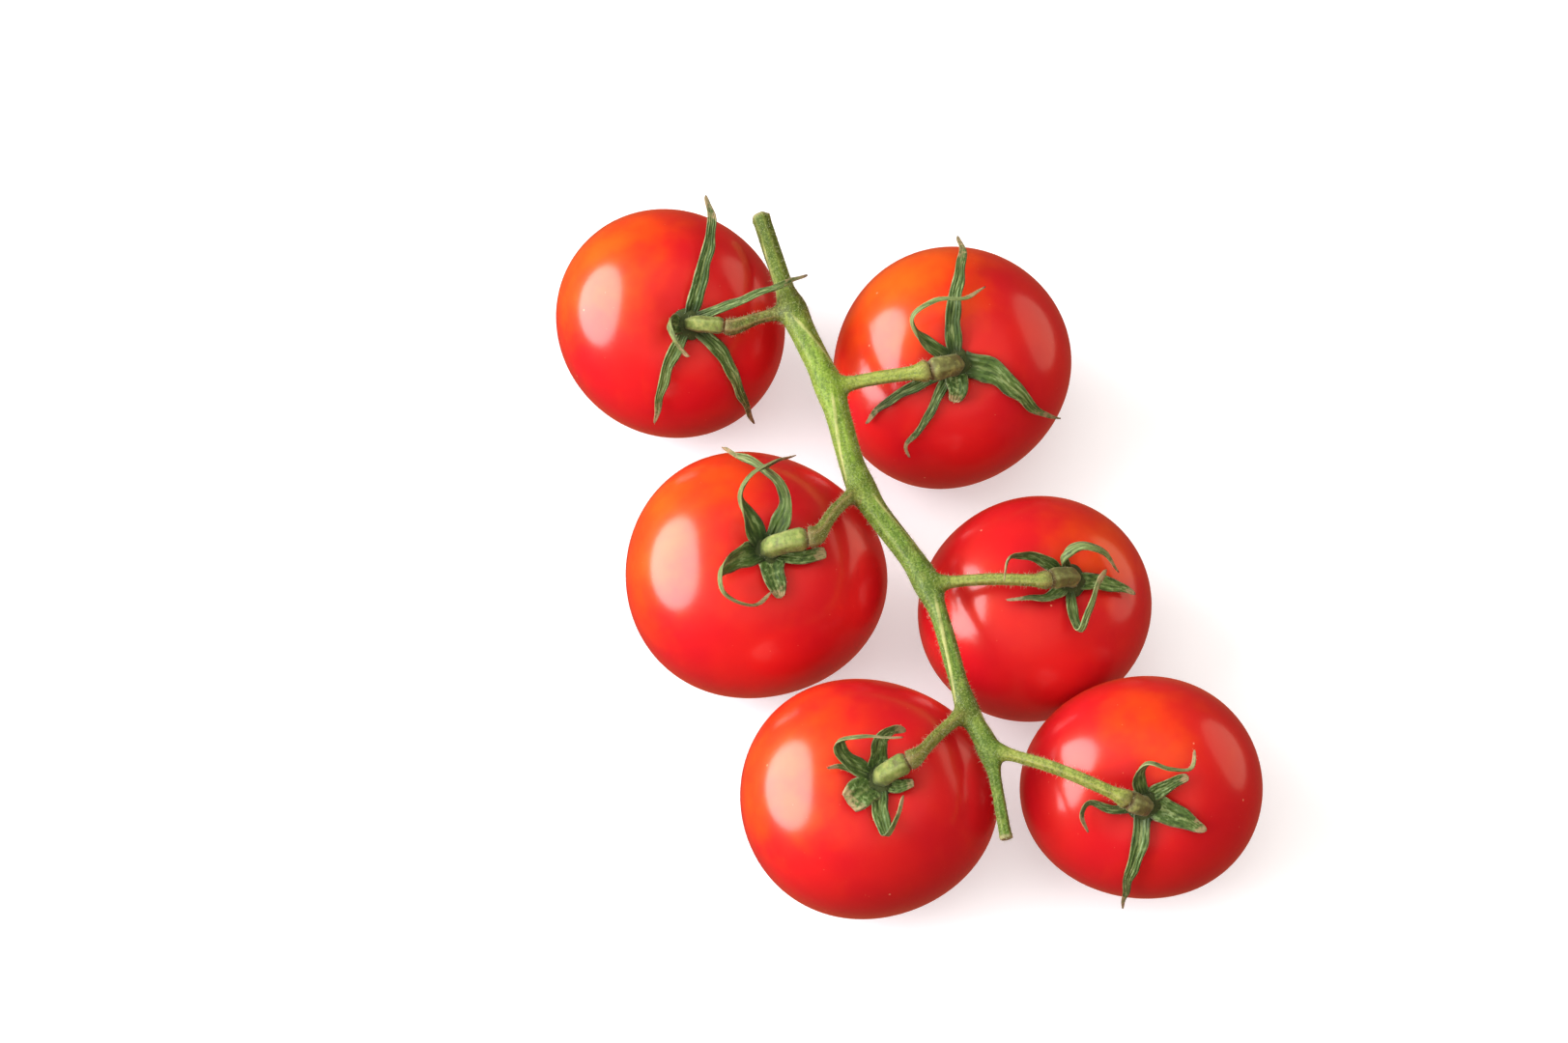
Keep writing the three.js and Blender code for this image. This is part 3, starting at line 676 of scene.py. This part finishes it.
def make_stem(centres, seats, joints):
    """The stem and its stalks as one mesh, with the values that its finish reads.

    The joined tubes are smoothed, most in the hollows of the forks. Then each point moves straight out
    from the nearest tube's middle, by RIDGE_HEIGHT (cos(ridges a) + lumps) and by the ridges that run back
    along the stem from the upper edge of each stalk.
    """
    forks = fork_points(centres, seats)
    path = [free_end(forks[0], STUB), *forks, free_end(forks[-1], TIP)]
    line, length = smooth_curve(path, STEM_STEPS + 1)
    at = np.linspace(0, length, len(line))
    stations = at[nearest(np.array(forks), line)]
    tubes = [tube_rings(line, STEM_SIDE, stem_radii(at, length, stations))]
    lines, from_end, owner, from_fork = [line], [at], [np.full(len(line), -1)], [np.zeros(len(line))]
    for number, (fork, (end, tangent), stalk) in enumerate(zip(forks, joints, STALKS)):
        route, reach = stalk_route(fork, end, tangent, stalk)
        out_along = np.linspace(0, reach, len(route))
        tubes.append(tube_rings(route, STEM_SIDE, stalk_radii(out_along, reach, stalk)))
        lines.append(route)
        from_end.append(reach - out_along)
        owner.append(np.full(len(route), number))
        from_fork.append(out_along)

    mesh = join_grown(tubes, "main_stem")
    points = read_points(mesh) / MM
    edges = np.empty(len(mesh.edges) * 2, np.int32)
    mesh.edges.foreach_get("vertices", edges)
    edges = edges.reshape(-1, 2)
    fork_gaps = np.linalg.norm(points[:, None] - np.array(forks)[None], axis=2)
    near_fork = bell(fork_gaps.min(1), FORK_REACH)
    bark = (bell(fork_gaps, BARK_REACH) * [stalk["bark"] for stalk in STALKS]).max(1)
    points = relax(points, edges, 0.9 * near_fork, FORK_ROUNDS)
    points = relax(points, edges, np.full(len(points), 0.5), SKIN_ROUNDS)

    axes = [carry_axes(one, STEM_SIDE) for one in lines]
    sides, ups = (np.vstack([one[k] for one in axes]) for k in (1, 2))
    samples = np.vstack(lines)
    close = nearest(points, samples)
    end_gap, owner, fork_gap = (np.concatenate(marks)[close] for marks in (from_end, owner, from_fork))
    on_main = owner < 0
    number = np.maximum(owner, 0)
    out = points - samples[close]
    angle = np.arctan2((out * ups[close]).sum(1), (out * sides[close]).sum(1))
    y = samples[close, 1]
    lumps = 0.35 * np.sin(0.21 * y + 2 * angle) + 0.25 * np.sin(0.47 * y + angle)
    ridge = np.cos(np.where(on_main, STEM_RIDGES, STALK_RIDGES) * angle + 0.02 * y)
    fade = 1 - 0.8 * near_fork
    run = np.zeros(len(points))
    for k, (station, stalk) in enumerate(zip(stations, STALKS)):
        beside = np.argmin(np.abs(at - station))
        root = unit(lines[k + 1][6] - lines[k + 1][0])
        start = math.atan2(root @ axes[0][2][beside], root @ axes[0][1][beside])
        behind = station - end_gap
        span = station - (stations[k - 1] if k else RUN_END)
        turned = start + math.radians(stalk["ridge_turn"]) * behind
        height = run_height(behind, span, angle - turned, np.linalg.norm(out, axis=1))
        run = np.maximum(run, height * on_main)
    points = points + unit(out) * (RIDGE_HEIGHT * (ridge + lumps) * fade + RUN_HEIGHT * run)[:, None]
    mesh.vertices.foreach_set("co", (points * MM).astype(np.float32).ravel())
    mesh.update()

    give_values(mesh, dict(
        ridge=ridge * fade,
        run=run,
        along=np.where(on_main, end_gap, stations[number]) / length,
        stalk=np.where(on_main, 0, smooth_step(fork_gap, 1.5, 5)),
        tone=np.array([stalk["tone"] for stalk in STALKS])[number],
        cut=np.where(on_main, bell(end_gap, 1.1) + bell(length - end_gap, 1.1), 0),
        joint=np.where(on_main, 0, bell(end_gap, 1.3)),
        bark=bark,
    ))
    return mesh


# ---- Hairs ----
def hair_mesh(name, roots, outward, count, longest, seed):
    """Fine closed spikes: three points around a root, HAIR_RADIUS out, and one at the tip.

    A tip leans from the surface's outward direction by a chance amount, and is up to longest away.
    """
    chance = np.random.default_rng(seed)
    picked = chance.choice(len(roots), min(count, len(roots)), replace=False)
    root, out = roots[picked], outward[picked]
    lean = unit(out + HAIR_LEAN * chance.normal(size=out.shape))
    aside = unit(np.cross(lean, chance.normal(size=out.shape)))
    other = np.cross(lean, aside)
    turn = (np.array([0, 2, 4]) * math.pi / 3)[:, None]
    ring = HAIR_RADIUS * (np.cos(turn) * aside[:, None] + np.sin(turn) * other[:, None])
    tip = root + lean * (longest * chance.uniform(SHORTEST_HAIR, 1, len(root)))[:, None]
    points = np.concatenate([root[:, None] + ring - HAIR_ROOT * lean[:, None], tip[:, None]], axis=1)
    corners = np.array([[0, 2, 1], [0, 1, 3], [1, 2, 3], [2, 0, 3]])
    faces = (np.arange(len(root))[:, None, None] * 4 + corners).reshape(-1, 3)
    mesh = bpy.data.meshes.new(name)
    mesh.from_pydata((points.reshape(-1, 3) * MM).tolist(), [], faces.tolist())
    mesh.update()
    return mesh


# ---- Finishes ----
class Nodes:
    """A node tree that is built up one node at a time."""

    def __init__(self, holder):
        holder.use_nodes = True
        self.tree = holder.node_tree

    def feed(self, socket, value):
        if isinstance(value, bpy.types.NodeSocket):
            self.tree.links.new(value, socket)
        else:
            socket.default_value = value

    def add(self, kind, inputs, output=0, **settings):
        node = self.tree.nodes.new("ShaderNode" + kind)
        for setting, value in settings.items():
            setattr(node, setting, value)
        for socket, value in inputs.items():
            self.feed(node.inputs[socket], value)
        return node.outputs[output]

    def calc(self, operation, *values):
        return self.add("Math", dict(enumerate(values)), operation=operation)

    def times(self, first, second):
        return self.calc("MULTIPLY", first, second)

    def between(self, value, low, high, to_low=0.0, to_high=1.0):
        """to_low at low and to_high at high, and a smooth step from one to the other."""
        inputs = {"Value": value, "From Min": low, "From Max": high, "To Min": to_low, "To Max": to_high}
        return self.add("MapRange", inputs, interpolation_type="SMOOTHSTEP")

    def mix(self, share, under, over):
        return self.add("Mix", {0: share, 6: under, 7: over}, 2, data_type="RGBA")

    def paint(self, colour, *layers):
        """The colour with each layer's share of its own colour mixed over it, in turn."""
        for share, (red, green, blue) in layers:
            colour = self.mix(share, colour, (red, green, blue, 1))
        return colour


class Finish(Nodes):
    """A material whose shader is fed by nodes."""

    def __init__(self, name, **sockets):
        self.material = bpy.data.materials.new(name)
        super().__init__(self.material)
        self.shader = self.tree.nodes["Principled BSDF"]
        for socket, value in sockets.items():
            self.shader.inputs[socket.replace("_", " ")].default_value = value

    def value(self, name):
        """A value that the mesh holds at its points."""
        return self.add("Attribute", {}, "Fac", attribute_name=name)

    def place(self, stretch=(1, 1, 1)):
        place = self.add("TexCoord", {}, "Object")
        return self.add("Mapping", {"Vector": place, "Scale": stretch})

    def noise(self, size, detail=3, stretch=(1, 1, 1), rough=0.55):
        """A cloudy value around a half, whose lumps are size millimetres across."""
        inputs = {"Vector": self.place(stretch), "Scale": 1 / (size * MM)}
        return self.add("TexNoise", inputs | {"Detail": detail, "Roughness": rough}, "Fac")

    def specks(self, spacing, radius):
        """1 in round specks of a radius, one to each cell spacing millimetres across, with soft rims."""
        inputs = {"Vector": self.place(), "Scale": 1 / (spacing * MM)}
        gap = self.add("TexVoronoi", inputs, "Distance")
        return self.between(gap, radius / spacing, 0.4 * radius / spacing)

    def relief(self, height, depth, normal=None):
        inputs = {"Height": height, "Strength": 1.0, "Distance": depth * MM}
        if normal is not None:
            inputs["Normal"] = normal
        return self.add("Bump", inputs)

    def done(self, colour, roughness, normal):
        self.feed(self.shader.inputs["Base Color"], colour)
        self.feed(self.shader.inputs["Roughness"], roughness)
        self.feed(self.shader.inputs["Normal"], normal)
        return self.material


def ripe_skin():
    """Deep glossy red, orange at the blossom end and about one point of each fruit (partly later ripening,
    partly painted light on the lit side), with fine pale pores.
    """
    f = Finish("ripe_skin", Coat_Weight=1.0, Coat_Roughness=0.18, Specular_IOR_Level=0.6,
               Specular_Tint=(1, 0.4, 0.12, 1), Sheen_Weight=0.2, Sheen_Roughness=0.25,
               Sheen_Tint=(1, 0.28, 0.04, 1), Subsurface_Weight=0.08, Subsurface_Scale=0.003,
               Subsurface_Radius=(1.0, 0.15, 0.06))
    polar = f.value("polar")
    lit_orange_spot = f.calc("ADD", f.value("blush"), f.between(f.noise(11, 3), 0.3, 0.7, -0.16, 0.16))
    streak = f.noise(5, 4, (1, 1, 0.35))
    pores = f.times(f.specks(2.3, 0.14), f.between(f.noise(9, 2), 0.42, 0.62))
    scar = f.between(polar, 3.07, 3.1)
    colour = f.paint(
        (0.58, 0.007, 0.014, 1),
        (f.between(f.noise(16, 2), 0.35, 0.68), (0.64, 0.011, 0.013)),
        (f.between(polar, 2.55, 3.0, 0, 0.55), (0.78, 0.075, 0.01)),
        # orange about each fruit's orange point: partly later ripening, partly painted light on the
        # brightly lit side
        (f.between(lit_orange_spot, 0.08, 0.62), (0.74, 0.05, 0.007)),
        (f.between(lit_orange_spot, 0.45, 1.0), (0.75, 0.105, 0.006)),
        (f.between(streak, 0.55, 0.8, 0, 0.2), (0.72, 0.035, 0.008)),
        (f.times(pores, 0.5), (0.86, 0.3, 0.14)),
        (f.times(f.specks(7, 0.27), 0.7), (0.88, 0.42, 0.24)),
        (scar, (0.16, 0.07, 0.025)),
    )
    rough = f.between(f.noise(3, 4), 0.3, 0.7, 0.36, 0.42)
    rough = f.calc("MAXIMUM", rough, f.times(scar, 0.7))
    peel = f.relief(f.noise(0.9, 2), 0.006)
    swell = f.relief(f.noise(9, 1), 0.05, peel)
    return f.done(colour, rough, f.relief(pores, 0.02, swell))


def stem_green():
    """Yellow green with pale ridges, olive at the cut end, brown at joints and tan where it was cut."""
    f = Finish("stem_green", Specular_IOR_Level=0.3, Subsurface_Weight=0.06, Subsurface_Scale=0.0015,
               Subsurface_Radius=(0.6, 1.0, 0.2))
    along, ridge, tone, on_stalk = (f.value(name) for name in ("along", "ridge", "tone", "stalk"))
    mottle = f.noise(1.6, 4, (1, 0.5, 1))
    fibre = f.noise(0.7, 4, (1, 0.16, 1))
    fine = f.noise(0.4, 3)
    bark = f.times(f.value("bark"), f.between(f.noise(2.2, 3), 0.35, 0.6, 0.6, 1))
    run = f.times(f.between(f.value("run"), 0.3, 0.9), f.between(mottle, 0.3, 0.6, 0.35, 0.75))
    olive_stalk = f.times(f.calc("SUBTRACT", 1.0, tone), on_stalk)
    stem = f.paint(
        (0.085, 0.125, 0.015, 1),
        (f.between(along, 0.02, 0.3), (0.19, 0.3, 0.027)),
        (f.between(along, 0.36, 0.7), (0.1, 0.185, 0.02)),
        (bark, (0.06, 0.05, 0.015)),
    )
    stalk = f.paint((0.12, 0.09, 0.03, 1), (tone, (0.33, 0.39, 0.06)))
    colour = f.paint(
        f.mix(on_stalk, stem, stalk),
        (f.between(mottle, 0.48, 0.7, 0, 0.5), (0.27, 0.35, 0.06)),
        (f.between(mottle, 0.5, 0.3, 0, 0.6), (0.05, 0.1, 0.01)),
        (f.between(ridge, 0.5, 1, 0, 0.3), (0.31, 0.31, 0.09)),
        (f.times(f.between(ridge, 0.2, 0.95, 0, 0.7), olive_stalk), (0.36, 0.22, 0.11)),
        (f.between(ridge, -0.4, -1, 0, 0.35), (0.045, 0.085, 0.01)),
        (f.between(f.noise(6, 4), 0.55, 0.75, 0, 0.35), (0.16, 0.12, 0.035)),
        (f.between(fibre, 0.4, 0.7, 0, 0.35), (0.055, 0.095, 0.012)),
        (f.between(fine, 0.5, 0.66, 0, 0.45), (0.3, 0.37, 0.09)),
        (f.between(fine, 0.5, 0.36, 0, 0.5), (0.045, 0.08, 0.01)),
        (f.times(f.specks(0.75, 0.13), 0.55), (0.045, 0.075, 0.01)),
        (run, (0.43, 0.43, 0.15)),
        (f.times(f.value("joint"), 0.75), (0.17, 0.12, 0.05)),
        (f.between(f.value("cut"), 0.35, 0.9, 0, 0.9), (0.3, 0.28, 0.12)),
        (f.times(f.specks(1.1, 0.11), 0.25), (0.36, 0.4, 0.15)),
    )
    rough = f.between(f.noise(2, 3), 0.3, 0.7, 0.46, 0.66)
    return f.done(colour, rough, f.relief(fine, 0.07, f.relief(fibre, 0.1)))


def knob_green():
    """The calyx's hub and short stalk: green by its tone, corky brown at the joint, with painted shade
    over the hub and the stalk's foot.
    """
    f = Finish("knob_green", Specular_IOR_Level=0.3, Sheen_Weight=0.06, Sheen_Roughness=0.5,
               Subsurface_Weight=0.05, Subsurface_Scale=0.0012, Subsurface_Radius=(0.6, 1.0, 0.2))
    knob = f.value("knob")
    blotch = f.noise(1.5, 4)
    grain = f.noise(0.8, 4)
    colour = f.paint(
        (0.12, 0.1, 0.035, 1),
        (f.value("tone"), (0.2, 0.27, 0.055)),
        (f.between(blotch, 0.5, 0.68, 0, 0.7), (0.34, 0.36, 0.1)),
        (f.between(blotch, 0.48, 0.34, 0, 0.6), (0.09, 0.075, 0.025)),
        # painted shade: darkens the hub and the foot of the stalk, down between the sepals
        (f.between(knob, 0.3, 0.0, 0, 0.9), (0.025, 0.04, 0.01)),
        (f.between(f.value("ridge"), 0.3, 1, 0, 0.35), (0.32, 0.35, 0.12)),
        (f.between(grain, 0.45, 0.72, 0, 0.45), (0.07, 0.09, 0.02)),
        (f.between(knob, 0.9, 0.99, 0, 0.85), (0.13, 0.085, 0.035)),
    )
    rough = f.between(f.noise(1.5, 3), 0.3, 0.7, 0.5, 0.72)
    return f.done(colour, rough, f.relief(grain, 0.12, f.relief(blotch, 0.3)))


def sepal_green():
    """Dark green with a pale midrib, veins and edges, pale streaks that are partly painted sheen, lighter
    underneath, a dry tan tip, and painted shade at the root.
    """
    f = Finish("sepal_green", Specular_IOR_Level=0.4, Sheen_Weight=0.07, Sheen_Roughness=0.45,
               Subsurface_Weight=0.05, Subsurface_Scale=0.001, Subsurface_Radius=(0.6, 1.0, 0.2))
    across, along, tone = (f.value(name) for name in ("across", "along", "tone"))
    blade = f.add("CombineXYZ", {"X": across, "Y": f.times(along, 2.5), "Z": f.times(tone, 9)})
    streak = f.add("TexNoise", {"Vector": blade, "Scale": 3.2, "Detail": 5.0, "Roughness": 0.6}, "Fac")
    off_rib = f.calc("ABSOLUTE", across)
    veins = f.calc("COSINE", f.times(off_rib, BLADE_VEINS * math.pi))
    worn = f.between(streak, 0.4, 0.6, 0.2, 1)
    mottle = f.noise(1.2, 4)
    tipward = f.calc("ADD", along, f.between(mottle, 0.3, 0.7, -0.12, 0.12))
    colour = f.paint(
        (0.04, 0.085, 0.013, 1),
        (tone, (0.085, 0.15, 0.026)),
        (f.times(f.value("under"), 0.75), (0.18, 0.25, 0.07)),
        # pale streaks along the blade: partly its own streaky colour, partly painted sheen
        (f.between(streak, 0.52, 0.64, 0, 0.8), (0.27, 0.37, 0.14)),
        (f.between(streak, 0.47, 0.36, 0, 0.8), (0.018, 0.042, 0.007)),
        (f.times(f.between(veins, 0.35, 1, 0, 0.4), worn), (0.17, 0.24, 0.06)),
        (f.times(f.between(off_rib, 0.18, 0.03, 0, 0.6), worn), (0.27, 0.33, 0.11)),
        (f.times(f.between(off_rib, 0.84, 0.99, 0, 0.75), worn), (0.38, 0.4, 0.17)),
        (f.between(mottle, 0.55, 0.72, 0, 0.5), (0.025, 0.05, 0.01)),
        (f.between(tipward, 0.74, 0.95, 0, 0.9), (0.42, 0.31, 0.15)),
        (f.between(tipward, 0.99, 1.08, 0, 0.6), (0.15, 0.09, 0.035)),
        # painted shade at the root of each blade, beside the hub
        (f.between(along, 0.16, 0.02, 0, 0.8), (0.015, 0.028, 0.007)),
    )
    rough = f.between(f.noise(1.5, 3), 0.3, 0.7, 0.48, 0.7)
    return f.done(colour, rough, f.relief(veins, 0.04, f.relief(mottle, 0.12)))


def pale_hair():
    f = Finish("pale_hair", Specular_IOR_Level=0.5)
    tint = f.paint((0.3, 0.37, 0.16, 1), (f.noise(0.6, 1), (0.6, 0.65, 0.4)))
    rough = f.between(f.noise(0.5, 1), 0.3, 0.7, 0.35, 0.5)
    return f.done(tint, rough, f.relief(f.noise(0.1, 1), 0.005))


def floor_white():
    f = Finish("floor_white", Specular_IOR_Level=0.2, Emission_Color=(1, 1, 1, 1), Emission_Strength=0.42)
    grain = f.noise(2.5, 2)
    tint = f.paint((0.72, 0.72, 0.72, 1), (grain, (0.74, 0.74, 0.74)))
    rough = f.between(grain, 0.3, 0.7, 0.85, 0.95)
    return f.done(tint, rough, f.relief(grain, 0.01))


# ---- The truss ----
SKIN, STEM, KNOB, SEPAL, HAIR = ripe_skin(), stem_green(), knob_green(), sepal_green(), pale_hair()


def install(piece, node):
    """Hangs the piece on the root body, and hides the plain solid that it takes the place of, if any."""
    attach(piece, "root")
    if node:
        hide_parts(node)


centres, seats, joints = [], [], []
hair_roots, hair_ways = [], []
for number, fruit in enumerate(FRUITS, start=1):
    rings, polar, centre, axes = place_fruit(number, fruit)
    ripe = Shells()
    ripe.add(rings, 0, polar=polar, blush=lit_orange_share(rings - centre, LIT_ORANGE_AND_RIPENING[number - 1]))
    tomato = show(ripe.mesh(f"ripe_fruit_{number}"), f"ripe_fruit_{number}", [SKIN])
    install(tomato, f"tomato_{number}")

    greens = calyx_shells(number, fruit, centre, axes).mesh(f"green_calyx_{number}")
    calyx = show(greens, f"green_calyx_{number}", [SEPAL, KNOB])
    install(calyx, f"calyx_{number}")

    seat = seat_of(fruit, centre, axes)
    route = lower_stalk_route(STALKS[number - 1])
    joints.append((route[-1] @ axes + seat, unit(route[-1] - route[-2]) @ axes))
    centres.append(centre)
    seats.append(seat)
    spread = np.random.default_rng(number).choice(len(greens.vertices), CALYX_HAIRS, replace=False)
    hair_roots.append((read_points(greens) / MM)[spread])
    hair_ways.append(read_points(greens, "normal")[spread])

stem_mesh = make_stem(centres, seats, joints)
stem = show(stem_mesh, "grown_stem", [STEM])
install(stem, "main_stem")

stem_points, stem_ways = read_points(stem_mesh) / MM, read_points(stem_mesh, "normal")
fuzz = hair_mesh("stem_fuzz", stem_points, stem_ways, STEM_HAIRS, STEM_HAIR_LENGTH, 7)
install(show(fuzz, "stem_fuzz", [HAIR]), None)
roots, ways = np.vstack(hair_roots), np.vstack(hair_ways)
down = hair_mesh("sepal_fuzz", roots, ways, len(roots), CALYX_HAIR_LENGTH, 8)
install(show(down, "sepal_fuzz", [HAIR]), None)

# ---- Floor ----
FLOOR_HALF = 3000
FLOOR_GAP = 0.05  # under the fruits
corners = [(-1, -1), (1, -1), (1, 1), (-1, 1)]
floor_mesh = bpy.data.meshes.new("floor")
floor_points = [(x * FLOOR_HALF * MM, y * FLOOR_HALF * MM, -FLOOR_GAP * MM) for x, y in corners]
floor_mesh.from_pydata(floor_points, [], [(0, 1, 2, 3)])
floor = show(floor_mesh, "floor", [floor_white()])
floor.visible_glossy = False
floor.visible_diffuse = False

# ---- Camera ----
TARGET = Vector((-22.3, 4.2, 26.6)) * MM
CAMERA_ELEVATION = math.radians(60)
CAMERA_DISTANCE = 1000 * MM
FOCAL_LENGTH = 120.55
SENSOR_WIDTH = 36
toward_camera = Vector((0, -math.cos(CAMERA_ELEVATION), math.sin(CAMERA_ELEVATION)))
picture_up = Vector((0, math.sin(CAMERA_ELEVATION), math.cos(CAMERA_ELEVATION)))
lens = bpy.data.cameras.new("camera")
lens.sensor_width = SENSOR_WIDTH
lens.lens = FOCAL_LENGTH
camera = bpy.data.objects.new("camera", lens)
camera.location = TARGET + toward_camera * CAMERA_DISTANCE
camera.rotation_euler = (math.pi / 2 - CAMERA_ELEVATION, 0, 0)
bpy.context.scene.collection.objects.link(camera)
bpy.context.scene.camera = camera

# ---- Lights ----
LAMP_DISTANCE = 2200 * MM


def soft_panel(name, way, wide, tall, radiance, colour, mirrored=True):
    """An oval lamp that faces the truss from a direction, wide and tall in degrees as seen from there.

    Its power is pi times the area of the box around it times the radiance asked for. Gloss shows it only
    where it is mirrored.
    """
    lamp = bpy.data.lights.new(name, "AREA")
    lamp.shape = "ELLIPSE"
    lamp.size = 2 * LAMP_DISTANCE * math.tan(math.radians(wide / 2))
    lamp.size_y = 2 * LAMP_DISTANCE * math.tan(math.radians(tall / 2))
    lamp.energy = math.pi * lamp.size * lamp.size_y * radiance
    lamp.color = colour
    back = Vector(way).normalized()
    right = picture_up.cross(back).normalized()
    turn = Matrix((right, back.cross(right), back)).transposed()
    holder = bpy.data.objects.new(name, lamp)
    holder.matrix_world = Matrix.Translation(TARGET + back * LAMP_DISTANCE) @ turn.to_4x4()
    holder.visible_glossy = mirrored
    bpy.context.scene.collection.objects.link(holder)


soft_panel("key_panel", (-0.9, -0.02, 0.43), 61, 64, 5.9, (0.96, 0.93, 1))
soft_panel("far_panel", (0.92, 0.32, 0.2), 46, 52, 1.0, (1, 0.72, 0.55))
soft_panel("top_panel", (-0.05, -0.32, 0.94), 86, 86, 1.5, (1, 0.97, 0.94), mirrored=False)

# A dim room above and a red glow from below, which blend across the horizon.
ROOM = (0.07, 0.052, 0.045, 1)
GLOW = (0.4, 0.07, 0.05, 1)
world = bpy.data.worlds.new("studio")
around = Nodes(world)
upward = around.add("SeparateXYZ", {0: around.add("TexCoord", {}, "Generated")}, "Z")
light = around.mix(around.between(upward, -0.12, 0.12), GLOW, ROOM)
around.feed(around.tree.nodes["Background"].inputs["Color"], light)
bpy.context.scene.world = world
bpy.context.scene.view_settings.view_transform = "Standard"
